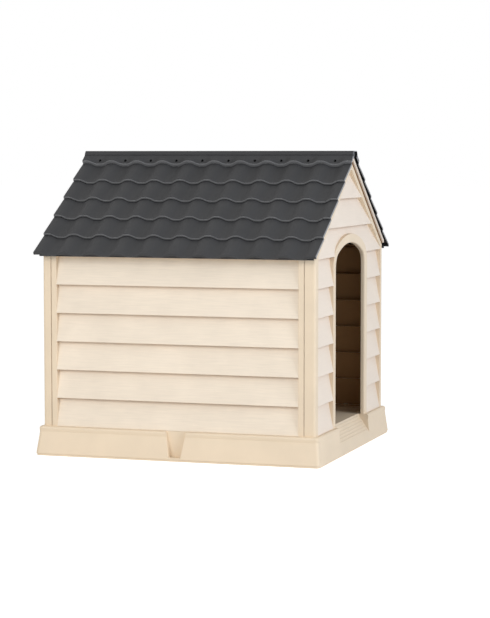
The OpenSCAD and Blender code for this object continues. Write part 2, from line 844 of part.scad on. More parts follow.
module ridge_wing_nuts() {
    hub_d = bolt_d * 2;
    wing_w = bolt_d * 4.2;
    color(charcoal)
        for (y = spread(bolt_n, bolt_pitch))
            translate([flange_out, y, bolt_z])
                rotate([0, 90, 0])
                    difference() {
                        union() {
                            cylinder(h = bolt_d * 1.2, d = hub_d, $fn = round_fn);
                            translate([-1.5, -wing_w / 2, bolt_d * 0.3])
                                cube([3, wing_w, bolt_d * 1.5]);
                        }
                        translate([0, 0, -eps])
                            cylinder(h = bolt_d * 3, d = bolt_d + 2 * peg_clear, $fn = round_fn);
                    }
}

// Push peg through a grip, its head on Z = 0 and its barb beyond the grip
module peg(grip) {
    r = peg_d / 2;
    rotate_extrude($fn = round_fn)
        polygon([[0, peg_head_h], [peg_head_d / 2 - 1.5, peg_head_h],
            [peg_head_d / 2, peg_head_h - 1.5], [peg_head_d / 2, 0], [r, 0], [r, -grip - 0.3],
            [r + 0.9, -grip - 1.5], [r - 1.2, -grip - 8], [0, -grip - 8]]);
}

module corner_pegs(side, rear) {
    joint_y = rear ? half_d - rear_return - skin_t : -half_d + front_return + skin_t;
    color(tan_grey)
        for (z = corner_peg_z)
            translate([side * corner_peg_x, joint_y, z])
                rotate([rear ? 90 : -90, 0, 0])
                    peg(2 * skin_t);
}
module front_left_corner_pegs() {
    corner_pegs(-1, false);
}
module front_right_corner_pegs() {
    corner_pegs(1, false);
}
module rear_left_corner_pegs() {
    corner_pegs(-1, true);
}
module rear_right_corner_pegs() {
    corner_pegs(1, true);
}

module floor_peg(x, y) {
    color(tan_grey)
        translate([x, y, deck_z + skin_t])
            peg(skin_t + base_t);
}
module front_floor_pegs() {
    for (x = front_peg_x)
        floor_peg(x, -half_d + floor_peg_in);
}
module rear_floor_pegs() {
    for (x = rear_peg_x)
        floor_peg(x, half_d - floor_peg_in);
}
module left_floor_pegs() {
    for (y = side_peg_y)
        floor_peg(-half_w + floor_peg_in, y);
}
module right_floor_pegs() {
    for (y = side_peg_y)
        floor_peg(half_w - floor_peg_in, y);
}

base();
front_panel();
rear_panel();
left_panel();
right_panel();
roof_left();
roof_right();
ridge_cap();
ridge_bolts();
ridge_wing_nuts();
front_left_corner_pegs();
front_right_corner_pegs();
rear_left_corner_pegs();
rear_right_corner_pegs();
front_floor_pegs();
rear_floor_pegs();
left_floor_pegs();
right_floor_pegs();
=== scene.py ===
"""Dressed model of a large moulded plastic pet house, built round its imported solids.

The house has a raised base, four lap-board walls, and a tiled roof that lifts off.
Forms are made in millimetres and turned to metres when a piece is finished. The
doorway faces -Y, the ridge runs along Y, and the origin is on the ground.
"""

import logging
import math
from collections.abc import Callable, Sequence
from dataclasses import dataclass
from enum import Enum, IntEnum

import bmesh
import bpy
from bmesh.types import BMEdge, BMesh, BMFace, BMVert
from mathutils import Matrix, Vector


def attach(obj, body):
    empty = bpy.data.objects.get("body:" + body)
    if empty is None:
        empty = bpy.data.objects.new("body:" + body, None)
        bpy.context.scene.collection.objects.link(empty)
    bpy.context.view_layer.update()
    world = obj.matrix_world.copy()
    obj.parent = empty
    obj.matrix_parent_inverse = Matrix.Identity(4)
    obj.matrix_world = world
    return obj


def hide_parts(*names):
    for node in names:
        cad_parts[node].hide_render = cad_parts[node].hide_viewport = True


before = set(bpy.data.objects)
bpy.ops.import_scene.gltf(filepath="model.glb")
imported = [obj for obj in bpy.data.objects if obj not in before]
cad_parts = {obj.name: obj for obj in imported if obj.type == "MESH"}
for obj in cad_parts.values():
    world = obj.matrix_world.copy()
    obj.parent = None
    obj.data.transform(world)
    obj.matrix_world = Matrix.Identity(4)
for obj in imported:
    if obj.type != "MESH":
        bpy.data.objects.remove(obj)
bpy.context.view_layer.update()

LOG = logging.getLogger("pet_house")
MM = 0.001
# How far a face's normal points one way, out of 1, to lean that way or to face it.
LEANING = 0.3
FACING = 0.7
# The share of an edge that the rounding at one of its ends may take up.
ROUNDING_SHARE = 0.49

Outline = Sequence[tuple[float, float]]
# Points as slope distance, height and share of the tiles' roll.
RollLine = Sequence[tuple[float, float, float]]


# Sizes that the pieces share

class Side(Enum):
    """The side of the ridge that a piece belongs to, as the sign of its X."""

    RIGHT = 1
    LEFT = -1


class End(Enum):
    """The end of the house that a piece belongs to, as the sign of its Y."""

    FRONT = -1
    REAR = 1


class Along(Enum):
    """The axis that a prism runs along."""

    X = 0
    Y = 1
    Z = 2

    def place(self, u: float, v: float, w: float) -> Vector:
        """Returns the point at u, v of the outline and w of the way along."""
        return Vector({Along.X: (w, u, v), Along.Y: (u, w, v), Along.Z: (u, v, w)}[self])


@dataclass(frozen=True)
class House:
    """Sizes that several pieces share."""

    half_w: float = 424.5
    half_d: float = 461.0
    deck_z: float = 95.0
    board_pitch: float = 92.4
    board_rows: int = 6
    board_lean: float = 18.0
    drip_r: float = 1.6
    top_rail_h: float = 15.0
    skin: float = 3.0
    frame_depth: float = 24.0
    post_w: float = 27.5
    front_return: float = 37.0
    rear_return: float = 28.0
    corner_r: float = 9.0
    flange_reach: float = 50.0
    floor_flange_w: float = 34.0
    door_w: float = 372.0
    door_h: float = 592.0
    arch_rise: float = 78.0
    shoulder_r: float = 50.0
    casing_w: float = 30.0
    pitch: float = math.radians(34.57)
    ridge_z: float = 989.7
    eave_x: float = 473.0
    roof_half_d: float = 474.0
    tile_w: float = 92.2
    tile_h: float = 13.0
    crest_w: float = 11.0
    roll_side: float = 33.0
    cap_run: float = 62.5
    courses: int = 5
    course_step: float = 9.0
    ridge_gap: float = 2.0
    ridge_flange_half_d: float = 430.0
    vents: int = 10
    vent_d: float = 9.0
    vent_back: float = 14.0

    @property
    def side_top(self) -> float:
        """Height of the top of the side walls."""
        return self.deck_z + self.board_rows * self.board_pitch + self.top_rail_h

    @property
    def slope_len(self) -> float:
        """Length of a roof slope from the ridge to the eave."""
        return self.eave_x / math.cos(self.pitch)

    @property
    def course_pitch(self) -> float:
        """Slope length that one course of tiles shows."""
        return (self.slope_len - self.cap_run) / self.courses

    def rake_z(self, x: float, under: float) -> float:
        """Returns the height, at x, of the line that lies under the gable's seat."""
        drop = under / math.cos(self.pitch)
        return self.side_top + (self.half_w - abs(x)) * math.tan(self.pitch) - drop

    def on_slope(self, s: float, h: float) -> Vector:
        """Returns the point of the right slope at distance s from the ridge, h above it."""
        c, n = math.cos(self.pitch), math.sin(self.pitch)
        return Vector((s * c + h * n, 0, self.ridge_z - s * n + h * c))

    @property
    def down(self) -> Vector:
        """The way down the right slope, 1 mm long."""
        return self.on_slope(1, 0) - self.on_slope(0, 0)

    @property
    def lift(self) -> Vector:
        """The way straight out of the right slope, 1 mm long."""
        return self.on_slope(0, 1) - self.on_slope(0, 0)

    def roll(self, y: float) -> float:
        """Returns how far the tiles lie below their crests, as a height of 0 or less.

        Args:
            y: The place along the ridge.

        Returns:
            The height.
        """
        from_crest = abs(y - self.tile_w * round(y / self.tile_w))
        share = min(1.0, max(0.0, (from_crest - self.crest_w / 2) / self.roll_side))
        return -self.tile_h * (1 - math.cos(math.pi * share)) / 2

    def on_tiles(self, line: RollLine) -> list[tuple[Vector, Vector]]:
        """Returns each point of a line, with the way it moves for 1 mm of roll."""
        return [(self.on_slope(s, h), self.lift * share) for s, h, share in line]

    def against_slope(self, face: BMFace) -> tuple[float, float, float, float]:
        """Measures a face against the slope that it belongs to, right or left.

        Args:
            face: The face.

        Returns:
            Its slope distance, its height over the rolled tiles, and how far it looks
            down the slope and out of it.
        """
        middle = face.calc_center_median()
        mirror = Vector((math.copysign(1, middle.x), 1, 1))
        here, way = middle * mirror - self.on_slope(0, 0), face.normal * mirror
        return (here.dot(self.down), here.dot(self.lift) - self.roll(middle.y),
                way.dot(self.down), way.dot(self.lift))

    def roll_stations(self, half: float, steps: int = 6) -> list[float]:
        """Returns the places along the ridge where the tiles need a section.

        Args:
            half: Half the length of the piece.
            steps: The number of steps on each side of a roll.

        Returns:
            The places, in order.
        """
        found = [-half, half]
        crest, reach = self.crest_w / 2, math.ceil(self.roof_half_d / self.tile_w)
        for roll in range(-reach, reach + 1):
            for side in (-1, 1):
                for step in range(steps + 1):
                    found.append(roll * self.tile_w
                                 + side * (crest + self.roll_side * step / steps))
        return sorted(y for y in found if abs(y) <= half)


HOUSE = House()


# Forms that every piece is made from

def rounded(outline: Outline, radius: float, corners: Sequence[int] | None = None,
            steps: int = 3) -> list[tuple[float, float]]:
    """Rounds the corners of a closed outline.

    Args:
        outline: The corners, in order.
        radius: How far along each edge the rounding starts.
        corners: The places in the outline to round, or None for all of them.
        steps: The number of short edges that replace a corner.

    Returns:
        The rounded outline.
    """
    made: list[tuple[float, float]] = []
    for place, point in enumerate(outline):
        corner = Vector(point)
        if corners is not None and place not in corners:
            made.append(tuple(corner))
            continue
        before = Vector(outline[place - 1]) - corner
        after = Vector(outline[(place + 1) % len(outline)]) - corner
        reach = min(radius, before.length * ROUNDING_SHARE, after.length * ROUNDING_SHARE)
        start, end = corner + before.normalized() * reach, corner + after.normalized() * reach
        for step in range(steps + 1):
            f = step / steps
            made.append(tuple(start * (1 - f) ** 2 + corner * 2 * f * (1 - f) + end * f * f))
    return made


def ring_of(form: BMesh, points: Sequence[Vector]) -> list[BMEdge]:
    """Adds a closed ring through some points to a form and returns its edges."""
    verts = [form.verts.new(point) for point in points]
    return [form.edges.new(pair) for pair in zip(verts, verts[1:] + verts[:1])]


def extended(form: BMesh, ring: list[BMEdge],
             move: Vector) -> tuple[list[BMEdge], list[BMVert]]:
    """Extrudes a ring by a move.

    Args:
        form: The form that holds the ring.
        ring: Its edges.
        move: The move.

    Returns:
        The edges and the corners of the new ring.
    """
    grown = bmesh.ops.extrude_edge_only(form, edges=ring)["geom"]
    corners = [part for part in grown if isinstance(part, BMVert)]
    bmesh.ops.translate(form, vec=move, verts=corners)
    edges = [part for part in grown if isinstance(part, BMEdge) and part.is_boundary]
    return edges, corners


def capped(form: BMesh, first: list[BMEdge], last: list[BMEdge]) -> BMesh:
    """Fills the first and the last ring of a form.

    Args:
        form: The form.
        first: The edges of its first ring.
        last: The edges of its last ring.

    Returns:
        The same form, closed.
    """
    for ring in (first, last):
        bmesh.ops.edgeloop_fill(form, edges=ring)
    return form


def sweep(section: Sequence[Vector], moves: Sequence[Vector]) -> BMesh:
    """Carries a closed section along a line of moves and closes both ends.

    Args:
        section: The points of the section, in order.
        moves: The move from each station to the next.

    Returns:
        The closed form.
    """
    form = bmesh.new()
    first = ring = ring_of(form, section)
    for move in moves:
        ring, _ = extended(form, ring, move)
    return capped(form, first, ring)


def prism(outline: Outline, along: Along, start: float, end: float) -> BMesh:
    """Makes a straight form of one outline that runs from start to end along an axis."""
    section = [along.place(u, v, start) for u, v in outline]
    return sweep(section, [along.place(0, 0, end - start)])


def block(low: Sequence[float], high: Sequence[float], rounding: float = 0.6) -> BMesh:
    """Makes a block between two corners, with its edges rounded.

    Args:
        low: The lowest corner.
        high: The highest corner.
        rounding: The width of the rounding, or 0 for sharp edges.

    Returns:
        The block.
    """
    form = bmesh.new()
    bmesh.ops.create_cube(form, size=1.0)
    size = Vector(high) - Vector(low)
    bmesh.ops.scale(form, vec=size, verts=form.verts)
    bmesh.ops.translate(form, vec=Vector(low) + size / 2, verts=form.verts)
    if rounding:
        bmesh.ops.bevel(form, geom=form.edges[:], offset=rounding, affect="EDGES", segments=2,
                        profile=0.5, material=-1)
    return form


def rolled(section: Sequence[tuple[Vector, Vector]], stations: Sequence[float]) -> BMesh:
    """Carries a closed section along the ridge so that it rises and falls with the tiles.

    Args:
        section: Each point of the section with its lift, the way it moves for 1 mm of roll.
        stations: The places along the ridge.

    Returns:
        The closed form.
    """
    form = bmesh.new()
    lift = form.verts.layers.float_vector.new("lift")
    start = stations[0]
    first = ring = ring_of(form, [point + way * HOUSE.roll(start) for point, way in section])
    for vert, (_, way) in zip(form.verts, section):
        vert.co.y, vert[lift] = start, way
    for before, here in zip(stations, stations[1:]):
        ring, corners = extended(form, ring, Vector((0, here - before, 0)))
        rise = HOUSE.roll(here) - HOUSE.roll(before)
        for vert in corners:
            vert.co += vert[lift] * rise
    capped(form, first, ring)
    form.verts.layers.float_vector.remove(lift)
    return form


def placed(name: str, data: bpy.types.ID) -> bpy.types.Object:
    """Makes an object and links it to the scene.

    Args:
        name: The object's name.
        data: The mesh, lamp or camera that it shows.

    Returns:
        The object.
    """
    made = bpy.data.objects.new(name, data)
    bpy.context.scene.collection.objects.link(made)
    return made


def carved(form: BMesh, tools: Sequence[BMesh], keep_inside: bool = False) -> BMesh:
    """Cuts tools out of a form.

    Args:
        form: The closed form to cut.
        tools: The closed forms that cut it.
        keep_inside: True to keep only what lies inside the tools.

    Returns:
        The carved form.
    """
    held = []
    for number, part in enumerate([form, *tools]):
        bmesh.ops.recalc_face_normals(part, faces=part.faces)
        shape = bpy.data.meshes.new("carving")
        part.to_mesh(shape)
        part.free()
        held.append(placed(f"carving_{number}", shape))
    for tool in held[1:]:
        cut = held[0].modifiers.new("carve", "BOOLEAN")
        cut.object, cut.solver = tool, "EXACT"
        cut.operation = "INTERSECT" if keep_inside else "DIFFERENCE"
    made = bmesh.new()
    made.from_object(held[0], bpy.context.evaluated_depsgraph_get())
    for part in held:
        shape = part.data
        bpy.data.objects.remove(part)
        bpy.data.meshes.remove(shape)
    return made


class Moulding:
    """One piece in the making: closed forms, in millimetres, that share one mesh."""

    def __init__(self, name: str, turn: Matrix | None = None) -> None:
        """Starts a piece.

        Args:
            name: The piece's name.
            turn: The turn or mirror that its forms take, or None.
        """
        self.name = name
        self.turn = turn or Matrix.Identity(4)
        self.mesh = bmesh.new()

    def add(self, form: BMesh, finish: int = 0, placing: Matrix | None = None) -> None:
        """Joins a closed form to the piece, with its faces turned outwards.

        Args:
            form: The form, which is used up.
            finish: The place of its material in the piece's list.
            placing: Where the form goes in the piece, or None where it is.
        """
        matrix = self.turn @ (placing or Matrix.Identity(4))
        bmesh.ops.transform(form, matrix=matrix, verts=form.verts)
        bmesh.ops.recalc_face_normals(form, faces=form.faces)
        for face in form.faces:
            face.material_index, face.smooth = finish, True
        held = bpy.data.meshes.new("form")
        form.to_mesh(held)
        form.free()
        self.mesh.from_mesh(held)
        self.mesh.normal_update()
        bpy.data.meshes.remove(held)

    def mark(self, finish: int, picks: Callable[[BMFace], bool]) -> None:
        """Gives some of the faces that are made so far a finish of their own.

        Args:
            finish: The place of the finish in the piece's list.
            picks: The test that a face has to pass.
        """
        for face in self.mesh.faces:
            if picks(face):
                face.material_index = finish

    def finish(self, materials: Sequence[bpy.types.Material], body: str, slot: str,
               nodes: Sequence[str], crisp: float = 40.0) -> None:
        """Turns the piece to metres, dresses it and puts it in the frame.

        Args:
            materials: The materials, in the order that the forms name them.
            body: The body that the piece rides on.
            slot: The record's material slot; not used.
            nodes: The solids that the piece stands for.
            crisp: The angle in degrees above which an edge stays sharp.
        """
        bmesh.ops.scale(self.mesh, vec=Vector((MM, MM, MM)), verts=self.mesh.verts)
        shape = bpy.data.meshes.new(self.name)
        self.mesh.to_mesh(shape)
        self.mesh.free()
        shape.set_sharp_from_angle(angle=math.radians(crisp))
        for material in materials:
            shape.materials.append(material)
        piece = placed(self.name, shape)
        even = piece.modifiers.new("even shading", "WEIGHTED_NORMAL")
        even.keep_sharp = True
        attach(piece, body)
        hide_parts(*nodes)
        LOG.info("%s: %d faces", self.name, len(shape.polygons))


# Finishes

def linear(colour: str) -> tuple[float, float, float, float]:
    """Returns an sRGB hex colour as linear red, green, blue and alpha."""
    parts = [int(colour[at:at + 2], 16) / 255 for at in (1, 3, 5)]
    return (*(p / 12.92 if p <= 0.04045 else ((p + 0.055) / 1.055) ** 2.4 for p in parts), 1.0)


def add_node(tree: bpy.types.NodeTree, kind: str, settings: dict | None = None,
             inputs: dict | None = None) -> bpy.types.Node:
    """Adds a node with its settings and links.

    Args:
        tree: The node tree.
        kind: The node's type.
        settings: Values for the node's own properties.
        inputs: For each input, a value or the output socket that feeds it.

    Returns:
        The node.
    """
    node = tree.nodes.new(kind)
    for name, value in (settings or {}).items():
        setattr(node, name, value)
    for name, value in (inputs or {}).items():
        if isinstance(value, bpy.types.NodeSocket):
            tree.links.new(value, node.inputs[name])
        else:
            node.inputs[name].default_value = value
    return node


def empty_tree(owner: bpy.types.Material | bpy.types.World) -> bpy.types.NodeTree:
    """Turns on the nodes of a material or world.

    Args:
        owner: The material or world.

    Returns:
        Its node tree, emptied.
    """
    owner.use_nodes = True
    owner.node_tree.nodes.clear()
    return owner.node_tree


class Grain(Enum):
    """The way the moulded wood grain runs, as pattern cells per metre along X, Y and Z."""

    NONE = None
    ALONG_X = (13.0, 260.0, 260.0)
    ALONG_Y = (260.0, 13.0, 260.0)


@dataclass(frozen=True)
class MouldedPolypropylene:
    """Polypropylene as it leaves the mould: a soft gloss over a fine grained skin.

    The grit stands for the mould's sparked texture, about 0.1 mm wide on the real
    part. It is drawn at about 1.5 mm so that it shows.
    """

    name: str
    colour: str
    grain: Grain = Grain.NONE
    roughness: float = 0.5
    gloss: float = 0.5
    grit_cells: float = 650.0
    grit_depth: float = 0.00006
    grain_depth: float = 0.00025
    cloud_cells: float = 9.0
    tone: float = 0.03

    def make(self) -> bpy.types.Material:
        """Builds the material.

        Returns:
            The material, with its colour, relief and gloss.
        """
        material = bpy.data.materials.new(self.name)
        tree = empty_tree(material)
        place = add_node(tree, "ShaderNodeTexCoord").outputs["Object"]
        grit = add_node(tree, "ShaderNodeTexNoise", None,
                        {"Vector": place, "Scale": self.grit_cells, "Detail": 2.0})
        cloud = add_node(tree, "ShaderNodeTexNoise", None,
                         {"Vector": place, "Scale": self.cloud_cells, "Detail": 3.0})
        relief = add_node(tree, "ShaderNodeBump", None,
                          {"Height": grit.outputs["Fac"], "Distance": self.grit_depth,
                           "Strength": 1.0})
        shade = cloud.outputs["Fac"]
        if self.grain is not Grain.NONE:
            stretch = add_node(tree, "ShaderNodeMapping", None,
                               {"Vector": place, "Scale": self.grain.value})
            streaks = add_node(tree, "ShaderNodeTexNoise", None,
                               {"Vector": stretch.outputs["Vector"], "Scale": 1.0,
                                "Detail": 3.0, "Roughness": 0.45, "Distortion": 0.3})
            relief = add_node(tree, "ShaderNodeBump", None,
                              {"Height": streaks.outputs["Fac"], "Distance": self.grain_depth,
                               "Strength": 1.0, "Normal": relief.outputs["Normal"]})
            # The streaks count for 0.8 of the clouds. Times 0.55, their sum is back in the
            # range of a single noise.
            shade = add_node(tree, "ShaderNodeMath", {"operation": "MULTIPLY_ADD"},
                             {0: streaks.outputs["Fac"], 1: 0.8, 2: cloud.outputs["Fac"]})
            shade = add_node(tree, "ShaderNodeMath", {"operation": "MULTIPLY"},
                             {0: shade.outputs[0], 1: 0.55}).outputs[0]
        level = add_node(tree, "ShaderNodeMapRange", None,
                         {"Value": shade, "From Min": 0.3, "From Max": 0.7,
                          "To Min": 1.0 - self.tone, "To Max": 1.0 + self.tone})
        tint = add_node(tree, "ShaderNodeVectorMath", {"operation": "SCALE"},
                        {0: linear(self.colour)[:3], "Scale": level.outputs["Result"]})
        shader = add_node(tree, "ShaderNodeBsdfPrincipled", None,
                          {"Base Color": tint.outputs["Vector"], "Roughness": self.roughness,
                           "IOR": 1.49, "Specular IOR Level": self.gloss,
                           "Normal": relief.outputs["Normal"]})
        add_node(tree, "ShaderNodeOutputMaterial", None, {"Surface": shader.outputs["BSDF"]})
        return material


class WallFinish(IntEnum):
    """The place of each finish in a wall's list of materials."""

    BOARDS = 0
    PLAIN = 1
    # The inside finish is browner and darker than the cream: painted shade.
    PAINTED_SHADE = 2


class RoofFinish(IntEnum):
    """The place of each finish in a roof piece's list of materials."""

    TILES = 0
    # The lip and edge finishes are paler: painted highlights. The underside finish is near
    # black: painted shade.
    LIP_HIGHLIGHT = 1
    SHADED_UNDERSIDE = 2
    EDGE_HIGHLIGHT = 3


@dataclass(frozen=True)
class Palette:
    """The materials of the house."""

    boards: bpy.types.Material
    painted_light_gable_boards: bpy.types.Material
    plain: bpy.types.Material
    tiles: bpy.types.Material
    lips: bpy.types.Material
    edge_highlights: bpy.types.Material
    shaded_tile_undersides: bpy.types.Material
    shaded_insides: bpy.types.Material
    pegs: bpy.types.Material

    @property
    def roof(self) -> list[bpy.types.Material]:
        """The materials of a roof piece, in the order of RoofFinish."""
        return [self.tiles, self.lips, self.shaded_tile_undersides, self.edge_highlights]

    def wall(self, boards: bpy.types.Material) -> list[bpy.types.Material]:
        """Returns the materials of a wall with such boards, in the order of WallFinish."""
        return [boards, self.plain, self.shaded_insides]


def make_palette() -> Palette:
    """Builds every material of the house.

    Returns:
        The materials.
    """
    # The lap boards carry a faint moulded wood grain. They are a little paler than the plain
    # parts: painted light, for the extra light that their upward lean catches.
    boards = MouldedPolypropylene("moulded_polypropylene_cream_boards_painted_light", "#e9dac5",
                                  Grain.ALONG_Y, tone=0.07)
    # The gable boards are paler and cooler still: painted light, for the front light on the
    # gables.
    gable = MouldedPolypropylene("moulded_polypropylene_cream_gable_boards_painted_light", "#ebdccb",
                                 Grain.ALONG_X)
    # Posts, margins, casing and base have the plain sparked skin.
    plain = MouldedPolypropylene("moulded_polypropylene_cream_plain", "#e5d1b5")
    # The insides are rougher, and browner and darker than the outside: painted shade, for the
    # shade inside the house, under the laps and in the gables' grooves.
    shaded_insides = MouldedPolypropylene("moulded_polypropylene_cream_painted_shade", "#b88f60",
                                   roughness=0.7)
    # The tiles take a coarser skin, which leaves them matt.
    tiles = MouldedPolypropylene("moulded_polypropylene_charcoal", "#373738",
                                 roughness=0.6, gloss=0.3, grit_cells=420.0,
                                 grit_depth=0.00012, tone=0.08)
    # The tiles' lips, and the cap's set-back end plates, are paler and glossier: a painted
    # highlight.
    lips = MouldedPolypropylene("moulded_polypropylene_charcoal_lips_painted_highlight", "#69696a",
                                roughness=0.42, tone=0.03)
    # The verges' rims and the cap's flush end faces are paler: a painted highlight along the
    # edges.
    cut = MouldedPolypropylene("charcoal_verges_painted_highlight", "#8c8c8d",
                               roughness=0.55, tone=0.03)
    # Under the tiles, and on the ribs below them, the skin is near black and takes no gloss:
    # painted shade.
    under = MouldedPolypropylene("moulded_polypropylene_charcoal_undersides_painted_shade", "#1f1f20",
                                 roughness=0.8, gloss=0.1, tone=0.03)
    # The pegs are small and smooth, in a greyer tan.
    pegs = MouldedPolypropylene("moulded_polypropylene_tan_pegs", "#cfc3ac", roughness=0.4)
    return Palette(boards.make(), gable.make(), plain.make(), tiles.make(), lips.make(),
                   cut.make(), under.make(), shaded_insides.make(), pegs.make())


# Walls

def looks_down(face: BMFace) -> bool:
    """Tells whether a face looks down, as the undersides of the laps do."""
    return face.normal.z < -FACING


def board_outline(rows: int, base: float) -> list[tuple[float, float]]:
    """Returns the zigzag section of lap boards, with its drip edges rounded.

    Args:
        rows: The number of boards.
        base: The height of the lowest board's foot.

    Returns:
        The section, as distance out from the wall's face and height.
    """
    lean, skin = HOUSE.board_lean, HOUSE.skin
    outer: list[tuple[float, float]] = []
    drips = []
    for row in range(rows):
        drips.append(len(outer))
        outer += [(0.0, base + row * HOUSE.board_pitch),
                  (-lean, base + (row + 1) * HOUSE.board_pitch)]
    inner = [(u - skin, v + skin) for u, v in outer[:-1]]
    top = (-lean - skin, outer[-1][1])
    closed = outer + [top] + inner[::-1] + [(-skin, base)]
    return rounded(closed, HOUSE.drip_r, drips)


@dataclass
class SideWall:
    """A lap-board side wall with flat margins, a top rail and inner flanges."""

    side: Side
    node: str
    margin: float = 20.0
    groove_w: float = 2.2
    groove_d: float = 1.4
    edge: float = 1.2
    flange_gap: float = 0.2

    def build(self, palette: Palette) -> None:
        """Builds the wall and dresses it.

        Args:
            palette: The materials of the house.
        """
        piece = Moulding(self.node.replace("panel", "wall"),
                         Matrix.Scale(self.side.value, 4, (1, 0, 0)))
        y0 = -HOUSE.half_d + HOUSE.front_return
        y1 = HOUSE.half_d - HOUSE.rear_return
        self._field(piece, y0 + self.margin, y1 - self.margin)
        self._margins(piece, y0, y1)
        self._flanges(piece, y0, y1)
        # Faces that look into the house take the browner inside finish: painted shade.
        piece.mark(WallFinish.PAINTED_SHADE,
                   lambda face: -self.side.value * face.normal.x > LEANING)
        piece.finish(palette.wall(palette.boards), "house", "cream_plastic", [self.node])

    def _field(self, piece: Moulding, low: float, high: float) -> None:
        """Adds the lap boards and the rail above them.

        Args:
            piece: The wall in the making.
            low: Where the field starts, along Y.
            high: Where it ends.
        """
        x, skin = HOUSE.half_w, HOUSE.skin
        rail_z = HOUSE.side_top - HOUSE.top_rail_h
        boards = prism([(x + u, v) for u, v in board_outline(HOUSE.board_rows, HOUSE.deck_z)],
                       Along.Y, low - skin / 2, high + skin / 2)
        piece.add(boards, WallFinish.BOARDS)
        # The laps' undersides take the browner inside finish: painted shade under each lap.
        piece.mark(WallFinish.PAINTED_SHADE, looks_down)
        lean = HOUSE.board_lean + skin
        rail = rounded([(x, rail_z), (x, HOUSE.side_top), (x - skin, HOUSE.side_top),
                        (x - skin, rail_z + skin), (x - lean, rail_z + skin),
                        (x - lean, rail_z)], self.edge, [0, 1])
        piece.add(prism(rail, Along.Y, low - skin / 2, high + skin / 2), WallFinish.PLAIN)

    def _margins(self, piece: Moulding, y0: float, y1: float) -> None:
        """Adds the flat margins, each with the return beside the boards and its tongue.

        Args:
            piece: The wall in the making.
            y0: Where the wall starts, along Y.
            y1: Where it ends.
        """
        x, skin, deep = HOUSE.half_w, HOUSE.skin, HOUSE.frame_depth
        for end, way in ((y0, 1), (y1, -1)):
            start, inner = end + way * self.groove_w, end + way * self.margin
            tongue = x - self.groove_d
            outline = [(x, start), (x, inner), (x - deep, inner),
                       (x - deep, inner - way * skin), (x - skin, inner - way * skin),
                       (x - skin, start + way * skin), (tongue - skin, start + way * skin),
                       (tongue - skin, end), (tongue, end), (tongue, start)]
            piece.add(prism(rounded(outline, self.edge, [0, 1]), Along.Z, HOUSE.deck_z,
                            HOUSE.side_top), WallFinish.PLAIN)

    def _flanges(self, piece: Moulding, y0: float, y1: float) -> None:
        """Adds the flanges that meet the posts, the base and the roof.

        Args:
            piece: The wall in the making.
            y0: Where the wall starts, along Y.
            y1: Where it ends.
        """
        x, skin, gap = HOUSE.half_w, HOUSE.skin, self.flange_gap
        for low in (y0, y1 - skin):
            piece.add(block((x - HOUSE.flange_reach, low, HOUSE.deck_z),
                            (x - self.groove_d, low + skin, HOUSE.side_top)), WallFinish.PLAIN)
        for low in (HOUSE.deck_z, HOUSE.side_top - skin):
            piece.add(block((x - HOUSE.floor_flange_w, y0 + gap, low),
                            (x - self.groove_d - skin / 2, y1 - gap, low + skin)),
                      WallFinish.PLAIN)


